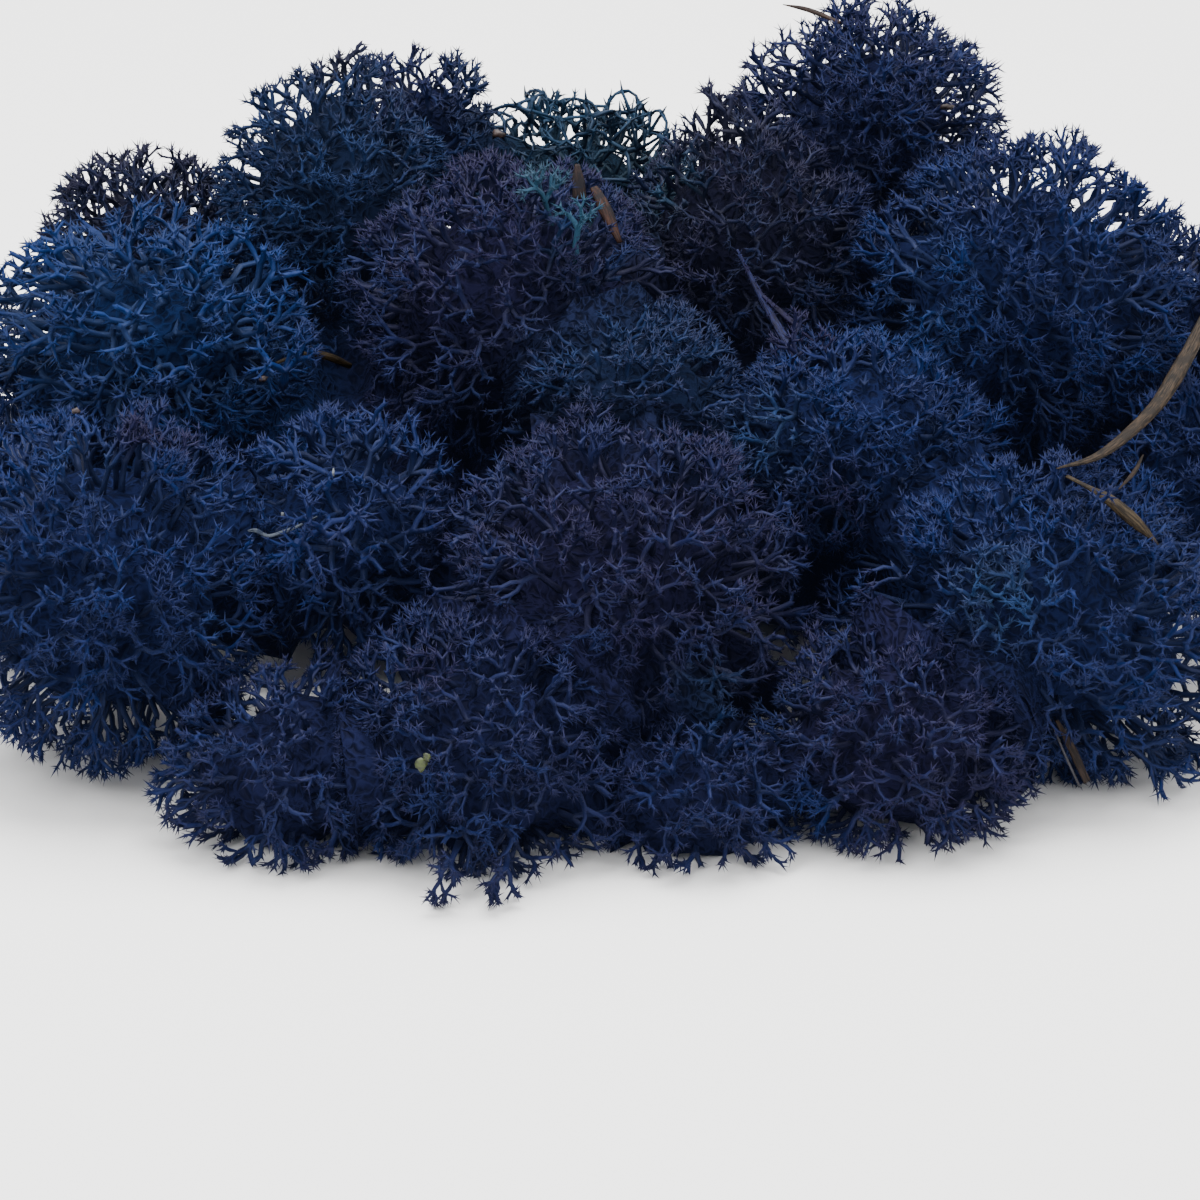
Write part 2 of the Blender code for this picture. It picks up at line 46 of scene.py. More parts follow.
# Where each tuft sits, how far its tips reach sideways and up, how it branches and how it is dyed.
# A knob stands out of it: the way it points, its height as a share of the reach, and its breadth.
tufts = {
    "tuft_low_front": {
        "middle": (-14, -47, 7), "reach": 16.5, "rise": 14.5, "habit": "fine", "dye": "navy",
        "knobs": [((-0.5, -18, -6.5), 0.16, 0.03)],
    },
    "tuft_front_centre": {"middle": (-1.5, -32, 16.5), "reach": 20, "rise": 18, "habit": "fine", "dye": "purple"},
    "tuft_low_front_mid": {"middle": (6, -50, 4), "reach": 11, "rise": 9, "habit": "fine", "dye": "navy"},
    "tuft_low_front_left": {
        "middle": (-31.5, -49, 6), "reach": 12, "rise": 10, "habit": "fine", "dye": "navy",
        "knobs": [((2, 4, 9), 0.2, 0.12), ((-11, -2, -1), 0.15, 0.1)],
    },
    "tuft_front_left": {"middle": (-49, -31, 17), "reach": 18.5, "rise": 18, "habit": "fine", "dye": "blue"},
    "tuft_left_open": {"middle": (-27, -27, 21), "reach": 13.5, "rise": 14, "habit": "open", "dye": "blue"},
    "tuft_left_upper": {
        "middle": (-46, -3, 32.5), "reach": 16.5, "rise": 13, "habit": "open", "dye": "azure",
        "knobs": [((-16, 1, 1), 0.3, 0.25)],
    },
    "tuft_left_tall": {
        "middle": (-30, 14, 41), "reach": 12.5, "rise": 14.2, "habit": "fine", "dye": "slate",
        "knobs": [((2.4, 0, 15.5), 0.34, 0.03)],
    },
    "tuft_back_left_small": {"middle": (-21.8, 30, 42.2), "reach": 10.2, "rise": 10.7, "habit": "loose", "dye": "navy"},
    "tuft_far_left_dark": {"middle": (-49.6, 22, 32.2), "reach": 12, "rise": 12.4, "habit": "loose", "dye": "black"},
    "tuft_centre_purple": {"middle": (-11.5, -2, 35), "reach": 17.5, "rise": 15.5, "habit": "fine", "dye": "purple"},
    "tuft_centre_teal": {"middle": (-1, -14, 29), "reach": 13.5, "rise": 11, "habit": "fine", "dye": "slate"},
    "tuft_back_lacy": {"middle": (-5.5, 32, 37), "reach": 14.5, "rise": 10.4, "habit": "lacy", "dye": "teal"},
    "tuft_back_right_dark": {
        "middle": (11.5, 12, 36.5), "reach": 14, "rise": 13.5, "habit": "fine", "dye": "black",
        "knobs": [((-2.5, 1, 15.6), 0.36, 0.06)],
    },
    "tuft_right_peak": {"middle": (24.4, 28, 44.5), "reach": 15, "rise": 13.6, "habit": "loose", "dye": "navy"},
    "tuft_right_upper": {"middle": (39, 5, 33.5), "reach": 18.4, "rise": 17.2, "habit": "fine", "dye": "blue"},
    "tuft_right_mid": {"middle": (21, -14, 25), "reach": 15.5, "rise": 11.5, "habit": "fine", "dye": "blue"},
    "tuft_right_front": {
        "middle": (37.5, -30, 13.5), "reach": 20, "rise": 16.5, "habit": "fine", "dye": "blue",
        "knobs": [((14.5, -7, -9), 0.26, 0.12)],
    },
    "tuft_low_right": {"middle": (24.5, -44, 7), "reach": 15, "rise": 11.5, "habit": "fine", "dye": "purple"},
    "tuft_far_right": {"middle": (55.5, 13, 26), "reach": 14, "rise": 12.8, "habit": "loose", "dye": "navy"},
    "tuft_far_right_mid": {"middle": (57.5, -9, 18), "reach": 14.5, "rise": 14, "habit": "fine", "dye": "blue"},
    "tuft_left_edge": {"middle": (-59, -5, 15), "reach": 15.5, "rise": 15, "habit": "fine", "dye": "blue"},
    "tuft_left_back_low": {"middle": (-53, 24, 14), "reach": 18, "rise": 15, "habit": "rear", "dye": "navy"},
    "tuft_back_low_left": {"middle": (-31, 42, 17), "reach": 20.5, "rise": 19, "habit": "rear", "dye": "blue"},
    "tuft_back_low_mid": {"middle": (-2, 49, 17), "reach": 19.5, "rise": 19, "habit": "rear", "dye": "navy"},
    "tuft_back_low_right": {"middle": (27, 44, 18), "reach": 21, "rise": 20, "habit": "rear", "dye": "blue"},
    "tuft_right_back_low": {"middle": (53, 25, 13), "reach": 17, "rise": 15, "habit": "rear", "dye": "navy"},
    "tuft_inner_centre": {"middle": (0, 6, 14), "reach": 22, "rise": 20, "habit": "inner", "dye": "black"},
    "tuft_inner_left": {"middle": (-28, 4, 15), "reach": 18, "rise": 17, "habit": "inner", "dye": "black"},
    "tuft_inner_right": {"middle": (30, 8, 14), "reach": 18, "rise": 18, "habit": "inner", "dye": "black"},
}

# Places where the dye took otherwise, as wide as their reach
stains = [
    {"middle": (27, -8, 38), "reach": 8, "dye": "azure"},
    {"middle": (35, 1, 49), "reach": 6, "dye": "navy"},
    {"middle": (13, -23, 30), "reach": 5, "dye": "steel"},
    {"middle": (20, -28, 24), "reach": 4.5, "dye": "purple"},
    {"middle": (33, -45, 22), "reach": 5, "dye": "steel"},
    {"middle": (22, -38, 22), "reach": 4.5, "dye": "purple"},
    {"middle": (-51, -36, 33), "reach": 4, "dye": "azure"},
    {"middle": (-44, -32, 34), "reach": 4.5, "dye": "purple"},
    {"middle": (-38, -45, 19), "reach": 3, "dye": "azure"},
    {"middle": (-33, -36, 28), "reach": 5.5, "dye": "bright"},
    {"middle": (8, -48, 13), "reach": 5.5, "dye": "slate"},
    {"middle": (-18, -54, 18), "reach": 5, "dye": "purple"},
    {"middle": (15, -55, 4), "reach": 4, "dye": "blue"},
    {"middle": (3, 6, 45), "reach": 4.5, "dye": "teal"},
    {"middle": (-28.4, 14, 57), "reach": 3, "dye": "black"},
    {"middle": (-6, -10, 46), "reach": 3, "dye": "slate"},
]

# Sprigs that stand where the photo shows one by itself: the foot, the way it points and its stem
planted = [
    {"tuft": "tuft_left_open", "foot": (-31.4, -36.5, 23.5), "way": (0.25, -0.75, 0.6), "stem": 3.6},
    {"tuft": "tuft_left_open", "foot": (-30.2, -37, 24.5), "way": (0.6, -0.5, 0.5), "stem": 3.2},
    {"tuft": "tuft_right_front", "foot": (42.3, -34.5, 26.5), "way": (0.1, -0.8, 0.6), "stem": 1.8},
    {"tuft": "tuft_left_upper", "foot": (-33.6, -12.5, 30.5), "way": (0.2, -0.6, 0.75), "stem": 2.2},
    {"tuft": "tuft_centre_purple", "foot": (-5.2, -12.5, 42.5), "way": (0, 0.1, 1), "stem": 4.0, "dye": "pale"},
    {"tuft": "tuft_centre_purple", "foot": (-7.6, -8, 45.5), "way": (-0.25, 0.1, 1), "stem": 2.6, "dye": "pale"},
    {"tuft": "tuft_right_mid", "foot": (15.5, -9.5, 31.5), "way": (0.2, -0.5, 0.8), "stem": 2.4, "dye": "purple"},
    {"tuft": "tuft_low_front", "foot": (-15.5, -60.5, 4.5), "way": (-0.1, -0.9, -0.45), "stem": 3.0},
    {"tuft": "tuft_low_front", "foot": (-11.5, -60.5, 4.0), "way": (0.3, -0.9, -0.3), "stem": 2.6},
]

# Specks caught on the sprigs: the middle, the size and the colour
specks = [
    {"tuft": "tuft_low_front", "middle": (-18.9, -61.6, 12.5), "size": (0.55, 0.35, 0.62), "colour": (0.028, 0.040, 0.004)},
    {"tuft": "tuft_low_front", "middle": (-18.3, -61.7, 13.3), "size": (0.3, 0.22, 0.4), "colour": (0.028, 0.040, 0.004)},
    {"tuft": "tuft_back_left_small", "middle": (-13.4, 24, 45.0), "size": (0.7, 0.35, 0.4), "colour": (0.024, 0.010, 0.008)},
    {"tuft": "tuft_left_open", "middle": (-32.2, -38.2, 27.3), "size": (0.14, 0.12, 0.24), "colour": (0.16, 0.18, 0.21)},
    {"tuft": "tuft_left_open", "middle": (-27.5, -37, 31), "size": (0.1, 0.1, 0.42), "colour": (0.16, 0.18, 0.21)},
    {"tuft": "tuft_right_peak", "middle": (31.8, 16.5, 50.2), "size": (0.6, 0.3, 0.3), "colour": (0.020, 0.009, 0.008)},
    {"tuft": "tuft_front_left", "middle": (-51.5, -32, 35.2), "size": (0.4, 0.25, 0.28), "colour": (0.018, 0.007, 0.009)},
    {"tuft": "tuft_left_upper", "middle": (-35.3, -15.8, 32.6), "size": (0.42, 0.3, 0.28), "colour": (0.022, 0.009, 0.008)},
]

# The dyes, as they look along the branches
dyes = {
    "black": (0.0042, 0.0050, 0.0190),
    "navy": (0.0036, 0.0062, 0.0340),
    "blue": (0.0028, 0.0076, 0.0440),
    "bright": (0.0028, 0.0090, 0.0520),
    "azure": (0.0026, 0.0118, 0.0600),
    "slate": (0.0042, 0.0106, 0.0400),
    "steel": (0.0070, 0.0180, 0.0600),
    "teal": (0.0038, 0.0140, 0.0330),
    "pale": (0.0110, 0.0280, 0.0520),
    "purple": (0.0048, 0.0056, 0.0290),
}

# What the dye is multiplied by at the tips, in patches and deep in a tuft, and a neutral colour that is added
# deep in a tuft; the deep colours are painted light, paler than the dye to lift the shade there
shade = {
    "tip": (1.8, 1.2, 1.0),
    "patch": (1.1, 1.55, 1.45),
    "inside": (1.3, 1.2, 0.9),
    # the core's strands, and the gaps between them, which are painted shade
    "coreStrand": (1.0, 0.9, 0.75),
    "coreGapShade": (0.5, 0.45, 0.35),
    "paintedFill": (0.0022, 0.0018, 0.0014),
    "glow": (0.24, 0.33, 0.72),  # painted glow: the moss gives off a faint light of its own, no lamp, which lifts its dark parts
    "glowStrength": 0.007,
    "patchShare": 0.48,
}

# Ways of branching. spacing: between sprigs, at the height shown by shell, a share of the tips' reach.
# core: the dense middle, as a share of the reach. Lengths and widths run from the stem to the twigs.
habits = {
    "fine": {
        "spacing": 2.7, "shell": 0.8, "core": 0.62,
        "lengths": (2.0, 1.5, 1.0), "widths": (0.70, 0.58, 0.46, 0.28), "tip": 0.85, "tipWidth": 0.22,
        "spread": 0.75, "stub": 0.16, "curl": 0.55, "sides": (1, 1, 2),
    },
    "loose": {
        "spacing": 2.7, "shell": 0.8, "core": 0.54,
        "lengths": (2.3, 1.6, 1.1), "widths": (0.70, 0.58, 0.46, 0.28), "tip": 0.9, "tipWidth": 0.22,
        "spread": 0.85, "stub": 0.16, "curl": 0.6, "sides": (1, 1, 2),
    },
    "open": {
        "spacing": 3.5, "shell": 0.8, "core": 0.52,
        "lengths": (2.9, 2.1, 1.4), "widths": (0.92, 0.78, 0.58, 0.34), "tip": 0.9, "tipWidth": 0.24,
        "spread": 0.85, "stub": 0.2, "curl": 0.7, "sides": (1, 2, 2),
    },
    "lacy": {
        "spacing": 4.5, "shell": 0.8, "core": 0.42,
        "lengths": (3.0, 2.2, 1.5), "widths": (0.72, 0.6, 0.46, 0.30), "tip": 0.9, "tipWidth": 0.22,
        "spread": 1.0, "stub": 0.3, "curl": 0.8, "sides": (1, 1, 1),
        "net": {"layers": (0.6, 0.78, 0.96), "gap": 2.5, "links": 3, "width": 0.42, "arch": 0.45, "bare": -0.1},
    },
    "rear": {
        "spacing": 3.7, "shell": 0.8, "core": 0.7,
        "lengths": (2.2, 1.6, 1.1), "widths": (0.70, 0.58, 0.44, 0.28), "tip": 0.85, "tipWidth": 0.22,
        "spread": 0.8, "stub": 0.16, "curl": 0.6, "sides": (1, 1, 1),
    },
    "inner": {
        "spacing": 6.0, "shell": 0.8, "core": 0.74,
        "lengths": (2.2, 1.6, 1.1), "widths": (0.70, 0.58, 0.44, 0.28), "tip": 0.85, "tipWidth": 0.22,
        "spread": 0.8, "stub": 0.16, "curl": 0.6, "sides": (1, 1, 1),
    },
}

# What all tufts share
growth = {
    "heart": (0, 6, 6),  # tufts grow away from here
    "openUpward": 0.8,
    "lumpHeight": 0.07,
    "lumpsPerReach": 2.2,
    "lobeSize": 12,  # the rounded lobes of a tuft, with creases between them
    "creaseDepth": 0.13,
    "creaseWidth": 0.22,
    "headHeight": 0.07,  # the small heads on the lobes
    "headsPerReach": 5.5,
    "ragged": 0.09,  # how unevenly the sprigs end
    "interlock": 0.8,  # how far neighbours' twigs reach into each other
    "lookouts": 60,  # rays that tell how open a place lies
    "lowestLook": -0.15,
    "hidingShare": 0.8,  # how much of a tuft's oval hides what is behind it
    "leastOpen": 0.06,  # no sprigs stand where less than this is open
    "wellOpen": 0.45,  # sprigs stand closest where at least this is open
    "behind": 0.35,  # how much further apart they stand at the back
    "coreBuried": 1.35,  # the core's share of the reach on the sides that lie against other tufts
    "coreOpens": (0.1, 0.28),  # how open a side is where the core starts and ends falling back
    "coreOverlap": 0.3,
    "coreLumps": 0.16,
    "coreLumpSize": 4.5,
    "rootDepth": 1.0,
    "shadeDepth": 6,  # how far under the tips the moss is at its palest, where the painted light that lifts the shade is fullest
    "lowestTip": 0.15,
    "litterGap": 0.2,
    "wobble": 0.2,
    "dyeEdge": 6,  # how sharply one tuft's dye gives way to the next
    "dyeDrift": 2.2,
    "dyeDriftSize": 6,
    "outward": 0.22,
    "candidates": 4000,
    "firstSeed": 11,
}


# The caught litter. Each part of a piece has points along it and its width there, then how flat it is,
# the depth of the groove along its broad face, its ridges, where and how deep it splits, its hairs,
# how far it turns about itself in degrees, and its colours from the dark grain to the light.
litter = {
    "needle_long": {
        "slot": "needle",
        "parts": [
            {
                "path": [(39.3, -33.4, 30.0), (44, -28.8, 29.8), (49.5, -19.8, 30.8), (53, -12.8, 32.9), (56.5, -5, 36.0)],
                "widths": [0.12, 0.9, 1.35, 1.6, 1.25], "flat": 0.62, "groove": 0.22, "ridges": (9, 0.05),
                "split": (0.6, 0.85), "hairs": 0, "turn": 25, "dark": (0.004, 0.003, 0.0025),
                "light": (0.036, 0.024, 0.015), "spot": (0.011, 0.008, 0.006), "rough": 0.05,
            },
        ],
    },
    "needle_spindle": {
        "slot": "needle",
        "parts": [
            {
                "path": [(40.3, -33.2, 29.2), (42.2, -34.9, 28.7), (44, -36.2, 28), (46.4, -37.6, 26.3),
                         (48.6, -38.4, 24.3)],
                "widths": [0.35, 0.5, 1.15, 1.3, 0.06], "flat": 0.7, "groove": 0.12, "ridges": (11, 0.05),
                "split": None, "hairs": 0, "turn": 20, "dark": (0.005, 0.0035, 0.0025),
                "light": (0.038, 0.027, 0.015), "spot": (0.010, 0.007, 0.005), "rough": 0.05,
            },
        ],
    },
    "needle_chip": {
        "slot": "brown_scale",
        "parts": [
            {
                "path": [(45.2, -33, 27.8), (47, -29, 28), (48.2, -25.4, 28.4)],
                "widths": [0.1, 0.45, 0.2], "flat": 0.5, "groove": 0.2, "ridges": (5, 0.06),
                "split": None, "hairs": 0, "turn": 50, "dark": (0.004, 0.003, 0.002),
                "light": (0.018, 0.010, 0.006), "spot": (0.008, 0.005, 0.004), "rough": 0.1,
            },
        ],
    },
    "bud_scale_upper": {
        "slot": "brown_scale",
        "parts": [
            {
                "path": [(-5.2, -2, 49.8), (-5.1, -3, 48.4), (-5, -4, 46.8)],
                "widths": [0.5, 1.2, 1.35], "flat": 0.4, "groove": 0.3, "ridges": (7, 0.06),
                "split": None, "hairs": 0, "turn": 0, "dark": (0.004, 0.003, 0.004),
                "light": (0.018, 0.010, 0.009), "spot": (0.006, 0.005, 0.007), "rough": 0.08,
            },
        ],
    },
    "bud_scale_lower": {
        "slot": "brown_scale",
        "parts": [
            {
                "path": [(-3.6, -4.5, 48.2), (-3.1, -5.4, 47.5), (-2.4, -6.6, 46.4), (-1.1, -9, 44.1)],
                "widths": [0.8, 1.1, 1.35, 0.5], "flat": 0.55, "groove": 0.2, "ridges": (6, 0.05),
                "split": None, "hairs": 0, "turn": 10, "dark": (0.006, 0.003, 0.003),
                "light": (0.030, 0.012, 0.008), "spot": (0.006, 0.004, 0.005), "rough": 0.08,
            },
        ],
    },
    "needle_top": {
        "slot": "brown_scale",
        "parts": [
            {
                "path": [(15.7, 29.4, 57.2), (18.3, 28, 57.0), (21.5, 26, 56.2)],
                "widths": [0.1, 0.6, 0.45], "flat": 0.7, "groove": 0.15, "ridges": (6, 0.05),
                "split": None, "hairs": 0, "turn": 30, "dark": (0.010, 0.006, 0.005),
                "light": (0.030, 0.017, 0.012), "spot": (0.014, 0.009, 0.008), "rough": 0.06,
            },
        ],
    },
    "twig_yellow": {
        "slot": "yellow_twig",
        "parts": [
            {
                "path": [(-34.4, -11.4, 32.6), (-31.8, -10.2, 33.2), (-29.4, -8.8, 32.4), (-27.4, -7.4, 31)],
                "widths": [0.25, 0.5, 0.9, 0.8], "flat": 0.8, "groove": 0.08, "ridges": (8, 0.07),
                "split": None, "hairs": 6, "turn": 40, "dark": (0.003, 0.002, 0.001),
                "light": (0.018, 0.011, 0.004), "spot": (0.006, 0.004, 0.002), "rough": 0.12,
            },
        ],
    },
    "straw_pale": {
        "slot": "straw",
        "parts": [
            {
                "path": [(-35.4, -39, 26), (-34.6, -39.2, 26.1), (-33.4, -39.2, 25.6), (-31.4, -38.8, 26.1), (-29, -38.2, 27.1)],
                "widths": [0.12, 0.42, 0.36, 0.7, 0.45], "flat": 0.38, "groove": 0.35, "ridges": (5, 0.08),
                "split": None, "hairs": 0, "turn": 120, "dark": (0.006, 0.010, 0.020),
                "light": (0.050, 0.060, 0.078), "spot": (0.014, 0.020, 0.036), "rough": 0.1,
            },
        ],
    },
    "needle_low_right": {
        "slot": "brown_scale",
        "parts": [
            {
                "path": [(38.9, -46.3, 10.2), (40.3, -47, 7.7), (41.8, -47.6, 4.6)],
                "widths": [0.3, 0.8, 0.8], "flat": 0.6, "groove": 0.3, "ridges": (6, 0.07),
                "split": (0.5, 0.6), "hairs": 0, "turn": 20, "dark": (0.004, 0.003, 0.003),
                "light": (0.022, 0.014, 0.011), "spot": (0.009, 0.006, 0.006), "rough": 0.1,
            },
            {
                "path": [(38.2, -46.6, 10.6), (39.5, -47.3, 7.6), (41.1, -47.9, 4.2)],
                "widths": [0.1, 0.22, 0.24], "flat": 0.8, "groove": 0.1, "ridges": (4, 0.03),
                "split": None, "hairs": 0, "turn": 0, "dark": (0.020, 0.019, 0.022),
                "light": (0.035, 0.034, 0.040), "spot": (0.020, 0.019, 0.023), "rough": 0.04,
            },
        ],
    },
    "twig_forked": {
        "slot": "violet_twig",
        "parts": [
            {
                "path": [(10.4, -1.6, 41), (12.4, -3.4, 37.4), (14.4, -6, 34.4), (16.8, -9.8, 31.4)],
                "widths": [0.2, 0.62, 0.85, 1.0], "flat": 0.6, "groove": 0.2, "ridges": (7, 0.07),
                "split": None, "hairs": 110, "turn": 30, "dark": (0.006, 0.006, 0.017),
                "light": (0.012, 0.016, 0.062), "spot": (0.008, 0.007, 0.028), "rough": 0.2,
            },
            {
                "path": [(12.9, -3.9, 37.0), (15.8, -5.6, 34.8), (18.8, -7.4, 32.8)],
                "widths": [0.35, 0.6, 0.5], "flat": 0.6, "groove": 0.15, "ridges": (6, 0.07),
                "split": None, "hairs": 60, "turn": 30, "dark": (0.005, 0.004, 0.014),
                "light": (0.009, 0.008, 0.036), "spot": (0.006, 0.005, 0.018), "rough": 0.2,
            },
        ],
    },
}


triangle = [(1, 0), (-0.5, math.sqrt(0.75)), (-0.5, -math.sqrt(0.75))]  # the corners round a branch


def unit(rows):
    return rows / np.maximum(np.linalg.norm(rows, axis=-1, keepdims=True), 1e-9)


def smoothPath(points, steps):
    # a curve through the points, with steps pieces between each two
    points = np.array(points, float)
    ends = np.vstack([2 * points[0] - points[1], points, 2 * points[-1] - points[-2]])
    rows = []
    for k in range(len(points) - 1):
        a, b, c, d = ends[k : k + 4]
        for t in np.arange(steps) / steps:
            rows.append(
                0.5 * (2 * b + (c - a) * t + (2 * a - 5 * b + 4 * c - d) * t**2 + (3 * b - a - 3 * c + d) * t**3)
            )
    return np.array(rows + [points[-1]])


def litterPoints():
    # points along all the litter with the half width there, which the moss keeps clear of
    rows = []
    for piece in litter.values():
        for part in piece["parts"]:
            line = smoothPath(part["path"], 12)
            half = np.interp(np.linspace(0, 1, len(line)), np.linspace(0, 1, len(part["widths"])), part["widths"]) / 2
            rows += [(*point, h) for point, h in zip(line, half)]
    tree = kdtree.KDTree(len(rows))
    for k, row in enumerate(rows):
        tree.insert(row[:3], k)
    tree.balance()
    return tree, np.array(rows)


litterTree, litterRows = litterPoints()


# Moss


def tipReach(tuft, rays):
    # how far the tips reach from the tuft's middle: an oval with broad lumps
    flat = np.hypot(rays[:, 0], rays[:, 1])
    oval = 1 / np.hypot(flat / tuft["reach"], rays[:, 2] / tuft["rise"])
    places = rays * growth["lumpsPerReach"] + np.array(tuft["middle"], float)
    lumps = np.array([noise.noise(place) for place in places])
    reach = oval * (1 + growth["lumpHeight"] * lumps)
    for way, height, breadth in tuft.get("knobs", ()):
        reach *= 1 + height * np.exp((rays @ unit(np.array(way, float)) - 1) / breadth)
    return reach


def lobes(tuft, rays):
    # 1 on the rounded lobes of a tuft, less in the creases between them
    places = rays * tuft["reach"] / growth["lobeSize"] + np.array(tuft["middle"], float) * 0.37
    swell = np.abs(np.array([noise.noise(place) for place in places]))
    return 1 - growth["creaseDepth"] * (1 - np.clip(swell / growth["creaseWidth"], 0, 1)) ** 2


def headReach(tuft, rays):
    # the tips with lobes and small heads, which only the twigs follow
    places = rays * growth["headsPerReach"] + np.array(tuft["middle"], float) * 1.7
    heads = np.array([noise.noise(place) for place in places])
    return tipReach(tuft, rays) * lobes(tuft, rays) * (1 + growth["headHeight"] * (heads - 0.2))


def cellOf(name):
    # one plane towards each neighbour, and the surface below, in the tuft's own frame
    tuft = tufts[name]
    here = np.array(tuft["middle"], float)
    normals, distances = [(0, 0, -1)], [here[2]]
    for otherName, other in tufts.items():
        away = np.array(other["middle"], float) - here
        far = np.linalg.norm(away)
        if otherName != name and far <= tuft["reach"] + other["reach"] + 2:
            normals.append(away / far)
            distances.append((far**2 + tuft["reach"] ** 2 - other["reach"] ** 2) / (2 * far))
    return np.array(normals, float), np.array(distances)


def openSide(tuft):
    away = unit(np.array(tuft["middle"], float) - growth["heart"])
    return unit(away + (0, 0, growth["openUpward"]))


def openness(name, places):
    # the share of the sky and of the room around the heap that a place sees past the other tufts
    rays = spiral(growth["lookouts"])
    rays = rays[rays[:, 2] > growth["lowestLook"]]
    clear = np.ones((len(places), len(rays)), bool)
    for otherName, other in tufts.items():
        if otherName == name:
            continue
        size = np.array((other["reach"], other["reach"], other["rise"])) * growth["hidingShare"]
        start = (places - other["middle"]) / size
        steps = rays / size
        a = (steps**2).sum(1)[None, :]
        b = start @ steps.T
        c = (start**2).sum(1)[:, None] - 1
        root = b**2 - a * c
        clear &= (root < 0) | (np.sqrt(np.maximum(root, 0)) < b) & (c > 0)
    return clear.mean(1)


def coreOf(name, normals, distances):
    # the dense middle: low under the open side, and out to the neighbours on the buried side
    tuft = tufts[name]
    bm = bmesh.new()
    bmesh.ops.create_icosphere(bm, subdivisions=3, radius=1)
    rays = unit(np.array([vert.co[:] for vert in bm.verts]))
    faces = np.array([[vert.index for vert in face.verts] for face in bm.faces])
    bm.free()
    share = habits[tuft["habit"]]["core"]
    # how open the side is: at the tips, or where a ray meets the surface below before them
    toSurface = tuft["middle"][2] / np.maximum(-rays[:, 2], 1e-6)
    tips = rays * np.minimum(tipReach(tuft, rays), toSurface)[:, None]
    seen = openness(name, tips + tuft["middle"])
    low, high = growth["coreOpens"]
    buried = 1 - np.clip((seen - low) / (high - low), 0, 1)
    share = share + (growth["coreBuried"] - share) * buried
    offset = np.array(tuft["middle"], float)
    lumps = np.array([noise.noise(place) for place in rays * tuft["reach"] / growth["coreLumpSize"] + offset])
    share = share * lobes(tuft, rays) ** 1.5 * (1 + growth["coreLumps"] * lumps)
    places = rays * (tipReach(tuft, rays) * share)[:, None]
    for _ in range(4):
        for k in range(len(normals)):
            places -= normals[k] * np.maximum(places @ normals[k] - (distances[k] + growth["coreOverlap"]), 0)[:, None]
    places[:, 2] = np.maximum(places[:, 2], -tuft["middle"][2])
    return places, faces


def coreRadius(rays, places, ballRays):
    # the core's surface along rays, taken from its nearest corner
    tree = kdtree.KDTree(len(ballRays))
    for k, ray in enumerate(ballRays):
        tree.insert(ray, k)
    tree.balance()
    nearest = [tree.find(ray)[1] for ray in rays]
    return np.linalg.norm(places[nearest], axis=1)


def spiral(count):
    z = 1 - (2 * np.arange(count) + 1) / count
    turn = math.pi * (3 - math.sqrt(5)) * np.arange(count)
    ring = np.sqrt(1 - z * z)
    return np.column_stack([ring * np.cos(turn), ring * np.sin(turn), z])


def keptApart(places, spacings, order):
    # picks places in that order, leaving out any that comes too near one already picked
    cells = {}
    kept = []
    widest = spacings.max()
    for k in order:
        key = tuple((places[k] // widest).astype(int))
        near = [
            other
            for dx in (-1, 0, 1) for dy in (-1, 0, 1) for dz in (-1, 0, 1)
            for other in cells.get((key[0] + dx, key[1] + dy, key[2] + dz), ())
        ]
        if all(((places[k] - places[other]) ** 2).sum() >= spacings[k] ** 2 for other in near):
            cells.setdefault(key, []).append(k)
            kept.append(k)
    return np.array(kept, int)


def dyeAt(places):
    # the tufts' dyes, which run into one another where they meet, and the stains
    drift = [noise.noise_vector(place) for place in places / growth["dyeDriftSize"]]
    places = places + np.array(drift) * growth["dyeDrift"]
    spots = [tuft for tuft in tufts.values() if tuft["habit"] != "inner"] + stains
    colour, total = 0, 0
    for spot in spots:
        near = np.exp(-growth["dyeEdge"] * np.linalg.norm(places - spot["middle"], axis=1) / spot["reach"])[:, None]
        colour = colour + near * dyes[spot["dye"]]
        total = total + near
    return colour / total


def chip(speck):
    # a small uneven flake
    bm = bmesh.new()
    bmesh.ops.create_icosphere(bm, subdivisions=2, radius=1)
    for vert in bm.verts:
        vert.co *= 1 + 0.9 * noise.noise(vert.co * 1.9 + Vector(speck["middle"]))
    places = np.array([vert.co[:] for vert in bm.verts]) * speck["size"] + speck["middle"]
    corners = np.array([[vert.index for vert in face.verts] for face in bm.faces])
    bm.free()
    return places, corners


